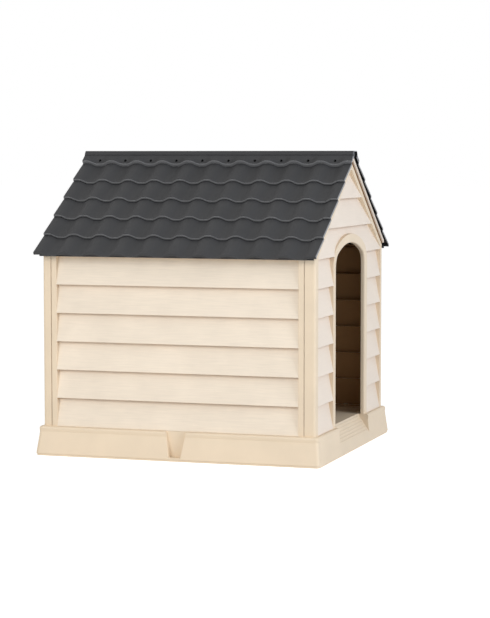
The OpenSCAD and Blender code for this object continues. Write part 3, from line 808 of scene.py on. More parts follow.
@dataclass
class GableWall:
    """A front or rear wall: lap boards between corner posts and a trimmed gable slope."""

    end: End
    node: str
    edge: float = 1.4
    post_edge: float = 1.0
    frame_top: float = 4.0
    frame_low: float = 21.0
    frame_proud: float = 0.2
    groove_d: float = 12.0
    bead_top: float = -14.0
    bead_low: float = -4.5
    bead_proud: float = 6.0
    bead_r: float = 2.6
    bead_end: float = 0.5
    casing_d: float = 22.5
    casing_r: float = 2.2
    reveal_d: float = 14.0
    reveal_r: float = 7.0

    @property
    def post_depth(self) -> float:
        """Depth of the corner posts."""
        return HOUSE.front_return if self.end is End.FRONT else HOUSE.rear_return

    @property
    def spring_z(self) -> float:
        """Height at which the doorway's arch starts."""
        return HOUSE.deck_z + HOUSE.door_h - HOUSE.arch_rise

    @property
    def turns(self) -> list[tuple[float, float, float]]:
        """Half of the arch's turns.

        Returns:
            The X and Z of the middle, and the angle, for each arc.
        """
        rise, shoulder = HOUSE.arch_rise, HOUSE.shoulder_r
        out = HOUSE.door_w / 2 - shoulder
        radius = (out ** 2 + rise ** 2 - shoulder ** 2) / (2 * (rise - shoulder))
        lean = math.asin(out / (radius - shoulder))
        return [(out, self.spring_z, math.pi / 2 - lean),
                (0.0, self.spring_z + rise - radius, lean)]

    def build(self, palette: Palette) -> None:
        """Builds the wall and dresses it.

        Args:
            palette: The materials of the house.
        """
        turn = Matrix.Rotation(math.pi if self.end is End.REAR else 0.0, 4, "Z")
        piece = Moulding(self.node.replace("panel", "wall"), turn)
        self._boards(piece)
        self._rake_trim(piece)
        self._posts(piece)
        if self.end is End.FRONT:
            self._casing(piece)
        self._floor_flange(piece)
        # Faces that look into the house take the browner inside finish: painted shade.
        piece.mark(WallFinish.PAINTED_SHADE,
                   lambda face: -self.end.value * face.normal.y > LEANING)
        # The gable boards' paler, cooler colour is painted light.
        piece.finish(palette.wall(palette.painted_light_gable_boards), "house", "cream_plastic", [self.node])

    def _boards(self, piece: Moulding) -> None:
        """Adds the lap boards, cut to the gable and round the doorway.

        Args:
            piece: The wall in the making.
        """
        half = HOUSE.half_w - HOUSE.post_w + HOUSE.skin / 2
        under = self.frame_low - HOUSE.skin / 2
        rows = math.ceil((HOUSE.rake_z(0, 0) - HOUSE.deck_z) / HOUSE.board_pitch)
        face, spare = -HOUSE.half_d, 4.0
        boards = prism([(face - u, v) for u, v in board_outline(rows, HOUSE.deck_z)],
                       Along.X, -half - spare, half + spare)
        through = (face - 20.0, face + 60.0)
        gable = prism([(-half, 0.0), (half, 0.0), (half, HOUSE.rake_z(half, under)),
                       (0.0, HOUSE.rake_z(0, under)), (-half, HOUSE.rake_z(half, under))],
                      Along.Y, *through)
        field = carved(boards, [gable], keep_inside=True)
        if self.end is End.FRONT:
            doorway = self._arch(HOUSE.casing_w - HOUSE.skin / 2, below=40.0)
            field = carved(field, [prism(doorway, Along.Y, *through)])
        piece.add(field, WallFinish.BOARDS)
        # The laps' undersides take the browner inside finish: painted shade under each lap.
        piece.mark(WallFinish.PAINTED_SHADE, looks_down)

    def _arch(self, grow: float, below: float, steps: int = 12) -> list[tuple[float, float]]:
        """Returns the doorway's outline, grown all round.

        Args:
            grow: How far it is grown.
            below: How far it reaches below the deck.
            steps: The number of steps in each arc.

        Returns:
            The outline, from foot to foot.
        """
        foot = HOUSE.deck_z - below
        spot = Vector((HOUSE.door_w / 2 + grow, self.spring_z))
        right = [tuple(spot)]
        for x, z, angle in self.turns:
            middle = Vector((x, z))
            for _ in range(steps):
                spot = middle + Matrix.Rotation(angle / steps, 2) @ (spot - middle)
                right.append(tuple(spot))
        left = [(-x, z) for x, z in reversed(right[:-1])]
        return [(right[0][0], foot), *right, *left, (left[-1][0], foot)]

    def _chevron(self, section: Outline, reach: float) -> BMesh:
        """Carries a section up one gable slope and down the other.

        Args:
            section: Its corners, as distance under the seat and depth behind the face.
            reach: The half width of the trim.

        Returns:
            The closed trim.
        """
        start = [Vector((-reach, -HOUSE.half_d + deep, HOUSE.rake_z(reach, under)))
                 for under, deep in section]
        rise = reach * math.tan(HOUSE.pitch)
        return sweep(start, [Vector((reach, 0, rise)), Vector((reach, 0, -rise))])

    def _rake_trim(self, piece: Moulding) -> None:
        """Adds the flat frame, the groove and the bead under the roof, and its seat.

        Args:
            piece: The wall in the making.
        """
        skin, deep, low, top = HOUSE.skin, HOUSE.frame_depth, self.frame_low, self.frame_top
        floor, reach = self.groove_d, HOUSE.half_w - HOUSE.corner_r
        flat = [(low, deep), (low, -self.frame_proud), (top, -self.frame_proud),
                (top, floor + skin), (top + skin, floor + skin), (top + skin, skin),
                (low - skin, skin), (low - skin, deep)]
        piece.add(self._chevron(rounded(flat, self.edge, [1, 2]), reach), WallFinish.PLAIN)
        bead = [(top + skin / 2, floor), (self.bead_low, floor), (self.bead_low, 0.0),
                (self.bead_low, -self.bead_proud), (self.bead_top, -self.bead_proud),
                (self.bead_top, floor + skin), (top + skin / 2, floor + skin)]
        piece.add(self._chevron(rounded(bead, self.bead_r, [3, 4], 4),
                                HOUSE.half_w - self.bead_end), WallFinish.BOARDS)
        # The groove's floor and sides take the browner inside finish: painted shade in the
        # groove.
        piece.mark(WallFinish.PAINTED_SHADE, self._in_groove)
        seat = [(0.0, floor + 1), (skin, floor + 1), (skin, deep), (0.0, deep)]
        piece.add(self._chevron(seat, reach), WallFinish.PLAIN)

    def _in_groove(self, face: BMFace) -> bool:
        """Tells whether a face lies in the groove, behind the wall's face.

        Args:
            face: The face.

        Returns:
            True for the floor and the sides of the groove.
        """
        near, middle = 0.1, face.calc_center_median()
        under = (HOUSE.rake_z(middle.x, 0) - middle.z) * math.cos(HOUSE.pitch)
        behind = HOUSE.half_d - abs(middle.y)
        return (self.bead_low - near < under < self.frame_top + near
                and near < behind < self.groove_d + near)

    def _posts(self, piece: Moulding) -> None:
        """Adds the corner posts, cut to the gable slope, and their inner flanges.

        Args:
            piece: The wall in the making.
        """
        inner, outer, radius = HOUSE.half_w - HOUSE.post_w, HOUSE.half_w, HOUSE.corner_r
        face, back = -HOUSE.half_d, -HOUSE.half_d + self.post_depth
        steps, edge, middle = 6, self.post_edge, 0.3 * self.post_edge
        turns = [math.radians(90 * step / steps) for step in range(steps + 1)]
        corner = [(outer - radius + radius * math.sin(a), face + radius - radius * math.cos(a))
                  for a in turns]
        outline = [(inner, back), (inner, face + edge), (inner + middle, face + middle),
                   (inner + edge, face), *corner, (outer, back)]
        for side in (1, -1):
            post = prism([(side * u, v) for u, v in outline], Along.Z, HOUSE.deck_z,
                         HOUSE.side_top + HOUSE.post_w)
            lean = Vector((side * math.sin(HOUSE.pitch), 0, math.cos(HOUSE.pitch)))
            cut = bmesh.ops.bisect_plane(
                post, geom=post.verts[:] + post.edges[:] + post.faces[:],
                plane_co=(0, 0, HOUSE.rake_z(0, self.frame_top)), plane_no=lean,
                clear_outer=True)["geom_cut"]
            bmesh.ops.edgeloop_fill(post, edges=[e for e in cut if isinstance(e, BMEdge)])
            piece.add(post, WallFinish.PLAIN)
            reach = sorted((side * (outer - HOUSE.flange_reach), side * (outer - HOUSE.skin)))
            piece.add(block((reach[0], back - HOUSE.skin, HOUSE.deck_z),
                            (reach[1], back, HOUSE.side_top)), WallFinish.PLAIN)

    def _casing(self, piece: Moulding) -> None:
        """Adds the casing: a flat band and the two returns behind it, up and over the arch.

        Args:
            piece: The wall in the making.
        """
        wide, deep, skin = HOUSE.casing_w, self.casing_d, HOUSE.skin
        profile = rounded([(0.0, self.reveal_d), (0.0, 0.0), (wide, 0.0), (wide, deep),
                           (wide - skin, deep), (wide - skin, skin), (skin, skin),
                           (skin, self.reveal_d)], self.casing_r, [2], 4)
        profile = rounded(profile, self.reveal_r, [1], 6)
        half, face = HOUSE.door_w / 2, -HOUSE.half_d
        form = bmesh.new()
        first = ring_of(form, [Vector((half + grow, face + back, HOUSE.deck_z))
                               for grow, back in profile])
        leg = Vector((0, 0, self.spring_z - HOUSE.deck_z))
        ring, _ = extended(form, first, leg)
        shoulder, flat = self.turns
        for x, z, angle in (shoulder, (flat[0], flat[1], flat[2] * 2),
                            (-shoulder[0], shoulder[1], shoulder[2])):
            spun = bmesh.ops.spin(form, geom=ring, cent=(x, 0, z), axis=(0, -1, 0),
                                  angle=angle, steps=20)["geom_last"]
            ring = [part for part in spun if isinstance(part, BMEdge)]
        ring, _ = extended(form, ring, -leg)
        piece.add(capped(form, first, ring), WallFinish.PLAIN)

    def _floor_flange(self, piece: Moulding) -> None:
        """Adds the flange that stands on the base, which stops at the doorway.

        Args:
            piece: The wall in the making.
        """
        face, skin = -HOUSE.half_d, HOUSE.skin
        half = HOUSE.half_w - HOUSE.flange_reach - skin
        spans = [(-half, half)]
        if self.end is End.FRONT:
            gap = HOUSE.door_w / 2 + HOUSE.casing_w - skin
            spans = [(-half, -gap), (gap, half)]
        for low, high in spans:
            piece.add(block((low, face + skin / 2, HOUSE.deck_z),
                            (high, face + HOUSE.floor_flange_w, HOUSE.deck_z + skin)),
                      WallFinish.PLAIN)


# Roof

@dataclass(frozen=True)
class SlopeRib:
    """A rib down the slope, near both gables.

    Its start is measured from the lower edge of the ridge cap, its end from the eave,
    and its depth from the crests of the tiles at their lips.
    """

    y: float
    start: float
    end: float
    depth: float


@dataclass
class TileRoof:
    """One slope of the roof: courses of rolled tiles over the ribs that carry them.

    A course's fold, nose and lip are points as slope distance and height. The fold is
    measured from the course's upper end, the nose from its lower end, and the lip from
    the next course, straight under that end.
    """

    side: Side
    node: str
    skin: float = 3.0
    tuck_run: float = 60.0
    tuck_h: float = -9.2
    fold: Outline = ((-1.0, -1.4), (0.7, -1.4), (2.2, 0.15))
    nose: Outline = ((-6.5, -0.57), (-4.0, -0.25), (-2.0, -0.5), (-0.7, -1.3))
    lip: Outline = ((0.0, 6.0), (0.0, 2.4), (-0.4, 0.9), (-1.0, -0.2))
    lip_heights: tuple[float, float] = (-9.5, -0.6)
    eave_edge_h: float = 11.0
    eave_share: float = 0.385
    rim_w: float = 1.4
    rim_proud: float = 0.2
    rim_grow: float = 2.4
    seat: SlopeRib = SlopeRib(448.0, 0.0, 60.1, 27.0)
    locator: SlopeRib = SlopeRib(433.0, 20.0, 90.2, 39.0)
    rib_edge: float = 0.5
    rest_x: float = 412.5
    rest_half_d: float = 421.5
    tab_x: float = 385.0
    tab_tiles: tuple[float, ...] = (-2.5, 0.5, 2.5)
    tab_half_w: float = 21.0
    tab_drop: float = 12.0
    drip_x: float = 451.5
    drip_drop: float = 14.5
    drip_edge: float = 0.8
    strip_run: float = 66.0
    strip_half_d: float = 449.5
    flange_h: float = 38.0

    def build(self, palette: Palette) -> None:
        """Builds the slope and dresses it.

        Args:
            palette: The materials of the house.
        """
        piece = Moulding(self.node.replace("roof", "tiles"),
                         Matrix.Scale(self.side.value, 4, (1, 0, 0)))
        self._tiles(piece)
        self._ribs(piece)
        self._ridge_strip(piece)
        piece.finish(palette.roof, "roof", "charcoal_plastic", [self.node], crisp=50.0)

    def _outer_line(self, grow: float = 0.0) -> list[tuple[float, float, float]]:
        """Returns the outer line of the courses, from the ridge cap to the eave.

        Args:
            grow: How far the line stands above the tiles.

        Returns:
            Its points, as slope distance, height and share of the tiles' roll.
        """
        step, pitch, eave = HOUSE.course_step, HOUSE.course_pitch, -self.eave_edge_h
        line = [(self.tuck_run, self.tuck_h, 1.0)]
        for course in range(HOUSE.courses):
            start = HOUSE.cap_run + course * pitch
            end = start + pitch
            if course:
                line += [(start + s, h - step, 1.0) for s, h in self.fold]
            line += [(start + pitch * f, -step * (1 - f), 1.0) for f in (0.25, 0.5, 0.75)]
            line += [(end + s, h, 1.0) for s, h in self.nose]
            if course < HOUSE.courses - 1:
                line += [(end + s, h - step, 1.0) for s, h in self.lip]
            else:
                # The eave's edge hangs lower and takes up less of the roll.
                line += [(end, -2.2, 1.0), (end, eave + 0.7, self.eave_share),
                         (end - 0.8, eave, self.eave_share)]
        return [(s, h + grow, share) for s, h, share in line]

    def _inner_line(self, grow: float = 0.0) -> list[tuple[float, float, float]]:
        """Returns the inner line of the courses, from the eave back to the ridge cap.

        Args:
            grow: How far the line hangs below the tiles.

        Returns:
            Its points, as slope distance, height and share of the tiles' roll.
        """
        step, pitch, skin = HOUSE.course_step, HOUSE.course_pitch, self.skin
        line = [(HOUSE.slope_len - skin, -self.eave_edge_h, self.eave_share)]
        for course in reversed(range(HOUSE.courses)):
            start = HOUSE.cap_run + course * pitch
            line += [(start + pitch - skin - 0.2, -skin - 0.3 - grow, 1.0),
                     (start - skin if course else self.tuck_run, -step - skin - 0.2 - grow,
                      1.0)]
        return line

    def _tiles(self, piece: Moulding) -> None:
        """Adds the tiled skin, and along each verge a fine rim, whose paler finish is a painted
        highlight.

        Args:
            piece: The slope in the making.
        """
        half, rim = HOUSE.roof_half_d, self.rim_w
        skin = HOUSE.on_tiles(self._outer_line() + self._inner_line())
        piece.add(rolled(skin, HOUSE.roll_stations(half - rim / 2)), RoofFinish.TILES)
        self._mark_faces(piece)
        # The rims take a paler finish: a painted highlight along each verge.
        thick = HOUSE.on_tiles(self._outer_line(self.rim_proud)
                               + self._inner_line(self.rim_grow))
        for way in (-1, 1):
            piece.add(rolled(thick, sorted((way * (half - rim), way * half))), RoofFinish.EDGE_HIGHLIGHT)

    def _mark_faces(self, piece: Moulding) -> None:
        """Gives the lips of the courses a painted highlight and the underside painted shade, as
        finishes of their own.

        Args:
            piece: The slope in the making.
        """
        lips = [HOUSE.cap_run + HOUSE.course_pitch * (course + 1)
                for course in range(HOUSE.courses - 1)]
        near, (low, high) = 2.0, self.lip_heights
        for face in piece.mesh.faces:
            s, h, down, out = HOUSE.against_slope(face)
            if out < -LEANING:
                face.material_index = RoofFinish.SHADED_UNDERSIDE
            elif down > FACING and low < h < high and any(abs(s - lip) < near for lip in lips):
                face.material_index = RoofFinish.LIP_HIGHLIGHT

    def _slope_rib(self, rib: SlopeRib, side: int) -> BMesh:
        """Makes a rib down the slope, with its top inside the tiles.

        Args:
            rib: The rib's sizes.
            side: The end of the house, as the sign of its Y.

        Returns:
            The rib.
        """
        step, pitch, half = HOUSE.course_step, HOUSE.course_pitch, self.skin / 2
        s0, s1 = HOUSE.cap_run + rib.start, HOUSE.slope_len - rib.end
        top = HOUSE.roll(rib.y - half) - half
        line = [(s0, -rib.depth), (s0, top - step * (1 - (s0 - HOUSE.cap_run) / pitch))]
        lean = 0.1
        for course in range(1, HOUSE.courses):
            lip = HOUSE.cap_run + course * pitch
            line += [(lip - lean, top), (lip + lean, top - step)]
        share = (s1 - HOUSE.cap_run) / pitch % 1
        line += [(s1, top - step * (1 - share)), (s1, -rib.depth)]
        start = [HOUSE.on_slope(s, h) + Vector((0, side * rib.y - half, 0)) for s, h in line]
        return sweep(start, [Vector((0, self.skin, 0))])

    def _ribs(self, piece: Moulding) -> None:
        """Adds the seats on the gables, the ribs that locate the roof, and the drip lip.

        Args:
            piece: The slope in the making.
        """
        # The seats, locating ribs, rest and tabs take the near black underside finish: painted
        # shade.
        for side in (-1, 1):
            for rib in (self.seat, self.locator):
                piece.add(self._slope_rib(rib, side), RoofFinish.SHADED_UNDERSIDE)
        skin, top, reach = self.skin, HOUSE.side_top, self.rest_half_d
        rest, tab, drip = self.rest_x, self.tab_x, self.drip_x
        piece.add(block((rest - skin, -reach, top), (rest, reach, self._under(rest)),
                        self.rib_edge), RoofFinish.SHADED_UNDERSIDE)
        for tiles in self.tab_tiles:
            low = tiles * HOUSE.tile_w - self.tab_half_w
            high = tiles * HOUSE.tile_w + self.tab_half_w
            piece.add(block((tab, low, top - self.tab_drop),
                            (tab + skin, high, self._under(tab)), self.rib_edge),
                      RoofFinish.SHADED_UNDERSIDE)
        piece.add(block((drip - skin, -HOUSE.half_d, top - self.drip_drop),
                        (drip, HOUSE.half_d, self._under(drip)), self.drip_edge))

    def _under(self, x: float) -> float:
        """Returns the height of the middle of the tile skin in the pans.

        Args:
            x: The distance from the ridge, seen from above.

        Returns:
            The height above the ground.
        """
        depth = HOUSE.tile_h + self.skin / 2
        s = (x + depth * math.sin(HOUSE.pitch)) / math.cos(HOUSE.pitch)
        share = (s - HOUSE.cap_run) / HOUSE.course_pitch % 1
        depth += HOUSE.course_step * (1 - share)
        return HOUSE.ridge_z - x * math.tan(HOUSE.pitch) - depth / math.cos(HOUSE.pitch)

    def _ridge_strip(self, piece: Moulding) -> None:
        """Adds the strip under the ridge cap, with its vents, and the bolted flange.

        Args:
            piece: The slope in the making.
        """
        skin, gap, depth = self.skin, HOUSE.ridge_gap, HOUSE.tile_h + HOUSE.course_step
        start = (gap + (depth + skin) * math.sin(HOUSE.pitch)) / math.cos(HOUSE.pitch)
        line = [(start, -depth), (self.strip_run, -depth), (self.strip_run, -depth - skin),
                (start, -depth - skin)]
        end = Vector((0, self.strip_half_d, 0))
        strip = sweep([HOUSE.on_slope(s, h) - end for s, h in line], [2 * end])
        # The strip and the flange below take the near black underside finish: painted shade.
        piece.add(carved(strip, [vent_drills()]), RoofFinish.SHADED_UNDERSIDE)
        top = HOUSE.on_slope(start, -depth - skin / 2).z + skin / 2
        reach = HOUSE.ridge_flange_half_d
        piece.add(block((gap, -reach, top - self.flange_h), (gap + skin, reach, top - 1),
                        self.rib_edge), RoofFinish.SHADED_UNDERSIDE)


def vent_drills() -> BMesh:
    """Makes the drills that bore the row of vents through the right slope at the cap.

    Returns:
        One form that holds all the drills.
    """
    drills, radius, middle = bmesh.new(), HOUSE.vent_d / 2, -10.0
    lean = Matrix.Rotation(HOUSE.pitch, 4, "Y")
    for number in range(HOUSE.vents):
        y = (number - (HOUSE.vents - 1) / 2) * HOUSE.tile_w
        spot = HOUSE.on_slope(HOUSE.cap_run - HOUSE.vent_back, middle) + Vector((0, y, 0))
        bmesh.ops.create_cone(drills, cap_ends=True, segments=20, radius1=radius,
                              radius2=radius, depth=60.0,
                              matrix=Matrix.Translation(spot) @ lean)
    return drills


@dataclass
class RidgeCap:
    """The cap over the ridge: a plain crown, and below it a band that follows the tiles.

    The crown's points are distance from the ridge and depth below it. The lip's are
    slope distance from the cap's edge, height over the band and share of the roll.
    """

    node: str = "ridge_cap"
    skin: float = 3.0
    crown: Outline = ((0.0, 0.0), (17.0, 0.0), (20.5, 0.5), (23.2, 2.4))
    crown_run: float = 31.0
    crown_recess: float = 8.0
    rise: float = 4.0
    flare_roll: float = 0.92
    lip_run: float = 9.0
    lip: RollLine = ((-6.6, 0.2, 0.97), (-4.6, 0.5, 1.0), (-2.6, 0.3, 1.0), (-1.0, -0.8, 1.0),
                     (-0.1, -2.8, 1.0), (0.0, -7.0, 1.0))
    web_top: float = 24.0
    web_h: float = 42.0
    web_edge: float = 0.5
    lip_face: tuple[float, float] = (1.2, 2.6)

    @property
    def foot(self) -> float:
        """Height of the band's lower edge, just clear of the first course."""
        return -HOUSE.course_step + 0.5

    def build(self, palette: Palette) -> None:
        """Builds the cap and dresses it.

        Args:
            palette: The materials of the house.
        """
        piece = Moulding("ridge_cap_cover")
        for side in Side:
            mirror = Matrix.Scale(side.value, 4, (1, 0, 0))
            piece.add(carved(self._half(), [vent_drills()]), RoofFinish.TILES, mirror)
            self._ends(piece, mirror)
        low = HOUSE.on_slope(0, -self.web_top).z - self.web_h
        gap, reach = HOUSE.ridge_gap, HOUSE.ridge_flange_half_d
        piece.add(block((-gap, -reach, low), (gap, reach, HOUSE.ridge_z - gap), self.web_edge))
        self._mark_faces(piece)
        piece.finish(palette.roof, "roof", "charcoal_plastic", [self.node], crisp=50.0)

    def _crown_line(self, shift: float) -> list[Vector]:
        """Returns the crown's line from the ridge out.

        Args:
            shift: How far the line is set in from the outside.

        Returns:
            Its points.
        """
        top = HOUSE.ridge_z - shift
        # Along the slope the edge comes in by less, so that the bend keeps its thickness.
        edge = HOUSE.on_slope(self.crown_run - shift * 0.4, self.rise + 2 - shift)
        flat = [Vector((x, 0, top - drop)) for x, drop in self.crown]
        return [*flat, edge + Vector((-0.9, 0, 1.9)), edge]

    def _flare(self, shares: Sequence[float], height: float) -> list[tuple[float, float, float]]:
        """Returns points down the band, where the roll grows from none at the crown.

        Args:
            shares: How far down each point lies, from 0 to 1.
            height: Their height.

        Returns:
            The points, as slope distance, height and share of the tiles' roll.
        """
        run = HOUSE.cap_run - self.lip_run - self.crown_run
        return [(self.crown_run + run * f, height, f * f * (3 - 2 * f) * self.flare_roll)
                for f in shares]

    def _half(self) -> BMesh:
        """Makes the right half of the cap's skin, whose band takes up the tiles' roll.

        Returns:
            The closed form.
        """
        run, rise, skin = HOUSE.cap_run, self.rise, self.skin
        band = self._flare((0.0, 0.2, 0.4, 0.6, 0.8, 1.0), rise)
        band += [(run + s, rise + h, share) for s, h, share in self.lip]
        band += [(run - 0.6, self.foot, 1.0), (run - skin, self.foot, 1.0),
                 (run - skin, rise - skin - 0.4, 1.0)]
        band += self._flare((1.0, 0.8, 0.6, 0.4, 0.2), rise - skin)
        band.append((self.crown_run - skin - 1, rise - skin, 0.0))
        still = Vector()
        line = [(point, still) for point in self._crown_line(0)] + HOUSE.on_tiles(band)
        line += [(point, still) for point in reversed(self._crown_line(skin))]
        return rolled(line, HOUSE.roll_stations(HOUSE.roof_half_d))

    def _ends(self, piece: Moulding, mirror: Matrix) -> None:
        """Closes the ends: flush under the band, set back under the crown.

        Args:
            piece: The cap in the making.
            mirror: The mirror that puts a right half on its side.
        """
        skin, half, start = self.skin, self.skin / 2, self.crown_run
        flush = [HOUSE.on_slope(s, h) for s, h in
                 ((start - skin, self.foot), (HOUSE.cap_run - half, self.foot),
                  (HOUSE.cap_run - half, self.rise - half), (start - skin, self.rise - half))]
        inner = [*self._crown_line(half), HOUSE.on_slope(start - half, self.foot),
                 HOUSE.on_slope(-5, self.foot)]
        inner[-1].x = 0.0
        for way in (-1, 1):
            # The plates set back under the crown take the paler lip finish: a painted sheen.
            for outline, back, finish in ((flush, 0.0, RoofFinish.TILES),
                                          (inner, self.crown_recess, RoofFinish.LIP_HIGHLIGHT)):
                end = Vector((0, way * (HOUSE.roof_half_d - back), 0))
                piece.add(sweep([point + end for point in outline],
                                [Vector((0, -way * skin, 0))]), finish, mirror)

    def _mark_faces(self, piece: Moulding) -> None:
        """Gives the band's lip and the end faces a painted highlight, and the underside painted
        shade, as finishes of their own.

        Args:
            piece: The cap in the making.
        """
        (near, high), straight, touching = self.lip_face, 0.9, 0.2
        for face in piece.mesh.faces:
            s, h, down, out = HOUSE.against_slope(face)
            from_end = HOUSE.roof_half_d - abs(face.calc_center_median().y)
            if out < -LEANING:
                face.material_index = RoofFinish.SHADED_UNDERSIDE
            elif s > HOUSE.cap_run - near and down > FACING and h < high:
                face.material_index = RoofFinish.LIP_HIGHLIGHT
            elif abs(face.normal.y) > straight and from_end < touching:
                face.material_index = RoofFinish.EDGE_HIGHLIGHT


# Base

@dataclass
class BaseTray:
    """The raised base: a ribbed tray with a rounded rim, a flared skirt and a ramp."""

    node: str = "base"
    rim_half_w: float = 438.0
    rim_half_d: float = 474.5
    foot_half_w: float = 450.5
    foot_half_d: float = 481.0
    rim_low_z: float = 79.0
    corner_r: float = 12.0
    skin: float = 3.2
    foot_h: float = 6.0
    rim_round_w: float = 6.5
    rim_round_h: float = 8.0
    corner_steps: int = 6
    ribs_each_way: int = 4
    rib_pitch: float = 96.0
    rib_low_z: float = 8.0
    ramp_low_z: float = 33.0
    tread_n: int = 6
    tread_w: float = 3.2
    tread_h: float = 1.8
    tread_end: float = 6.0
    notch_low_z: float = 12.0
    notch_low_half: float = 19.5
    notch_high_half: float = 34.0
    notch_x: tuple[float, float] = (426.0, 470.0)
    edge: float = 1.2
    rib_set_in: tuple[float, float] = (3.6, 3.0)
    middle_reach: float = 421.5
    middle_foot_r: float = 35.0
    middle_rib_half: float = 33.0

    def build(self, palette: Palette) -> None:
        """Builds the base and dresses it.

        Args:
            palette: The materials of the house.
        """
        piece = Moulding("base_tray")
        piece.add(self._shell())
        self._treads(piece)
        self._ribs(piece)
        piece.finish([palette.plain], "house", "cream_plastic", [self.node])

    def _rings(self) -> list[tuple[float, float, float]]:
        """Lists the rings that the base is skinned over, from the ground up.

        Returns:
            The half width, half depth and height of each.
        """
        foot, rim = (self.foot_half_w, self.foot_half_d), (self.rim_half_w, self.rim_half_d)
        low = self.rim_low_z
        # Each ring is set in from the foot's or the rim's full size.
        rings = [(foot, 2.0, 0.0), (foot, 2.0, self.foot_h - 1.0), (foot, 0.9, self.foot_h),
                 (foot, 0.0, self.foot_h + 1.6), (rim, 1.0, low - 2.4), (rim, 0.7, low + 0.2),
                 (rim, 0.2, low + 2.2)]
        steps = 8
        for step in range(steps + 1):
            turn = math.radians(90 * step / steps)
            rings.append((rim, self.rim_round_w * (1 - math.cos(turn)),
                          HOUSE.deck_z - self.rim_round_h * (1 - math.sin(turn))))
        return [(wide - inset, deep - inset, z) for (wide, deep), inset, z in rings]

    def _solid(self) -> BMesh:
        """Makes the outer form of the base.

        Returns:
            The closed form.
        """
        form, radius, steps, loops = bmesh.new(), self.corner_r, self.corner_steps, []
        for half_w, half_d, z in self._rings():
            points = []
            for corner, (x, y) in enumerate(((1, 1), (-1, 1), (-1, -1), (1, -1))):
                for step in range(steps + 1):
                    turn = math.radians(90 * corner + 90 * step / steps)
                    points.append(Vector((x * (half_w - radius) + radius * math.cos(turn),
                                          y * (half_d - radius) + radius * math.sin(turn),
                                          z)))
            loops.append(ring_of(form, points))
        for low, high in zip(loops, loops[1:]):
            bmesh.ops.bridge_loops(form, edges=low + high)
        return capped(form, loops[0], loops[-1])

    def _ramp_line(self) -> list[tuple[float, float]]:
        """Returns the side outline of the space over the ramp.

        Returns:
            Its points as Y and Z, the ramp's two ends first.
        """
        flare, above = self.foot_half_d - self.rim_half_d, 20.0
        front = -self.foot_half_d + flare * self.ramp_low_z / HOUSE.deck_z
        back = -HOUSE.half_d + HOUSE.frame_depth
        return [(back, HOUSE.deck_z), (front, self.ramp_low_z),
                (front - above, self.ramp_low_z), (front - above, HOUSE.deck_z + above),
                (back, HOUSE.deck_z + above)]

    def _shell(self) -> BMesh:
        """Makes the tray: the outer form with its notches and ramp, hollow from below.

        Returns:
            The tray's skin.
        """
        tools = [prism(self._ramp_line(), Along.X, -HOUSE.door_w / 2, HOUSE.door_w / 2)]
        foot, low, high = self.notch_low_z, self.notch_low_half, self.notch_high_half
        deck, top = HOUSE.deck_z + 0.6, HOUSE.deck_z + 15.0
        notch = [(-low, foot), (low, foot), (high, deck), (high, top), (-high, top),
                 (-high, deck)]
        for side in (1, -1):
            tools.append(prism(notch, Along.X, *sorted(side * x for x in self.notch_x)))
        form = carved(self._solid(), tools)
        bmesh.ops.remove_doubles(form, verts=form.verts, dist=0.01)
        # The edges of the notches and the ramp, above the flare of the foot.
        sharp, above = math.radians(35), 8.0
        mouths = [e for e in form.edges
                  if len(e.link_faces) == 2 and e.calc_face_angle(0) > sharp
                  and min(v.co.z for v in e.verts) > above]
        bmesh.ops.bevel(form, geom=mouths, offset=self.edge, affect="EDGES", segments=2,
                        profile=0.5, material=-1, clamp_overlap=True)
        floor = [face for face in form.faces
                 if all(abs(vert.co.z) < 0.01 for vert in face.verts)]
        bmesh.ops.delete(form, geom=floor, context="FACES")
        bmesh.ops.recalc_face_normals(form, faces=form.faces)
        top_face = max(form.faces, key=lambda face: face.calc_center_median().z)
        if top_face.normal.z < 0:
            bmesh.ops.reverse_faces(form, faces=form.faces)
        bmesh.ops.solidify(form, geom=form.faces[:], thickness=self.skin)
        return form

    def _treads(self, piece: Moulding) -> None:
        """Adds the fine ribs across the ramp.

        Args:
            piece: The base in the making.
        """
        (back, high), (front, low) = self._ramp_line()[:2]
        run, rise = back - front, high - low
        angle, length = math.atan2(rise, run), math.hypot(run, rise)
        slope = Matrix.Translation((0, back, high)) @ Matrix.Rotation(angle, 4, "X")
        half = HOUSE.door_w / 2 - self.tread_end
        for number in range(1, self.tread_n + 1):
            near = -number * length / (self.tread_n + 1)
            far = near + self.tread_w
            section = rounded([(near, -1.0), (far, -1.0), (far, self.tread_h),
                               (near, self.tread_h)], self.edge, [2, 3])
            piece.add(prism(section, Along.X, -half, half), 0, slope)

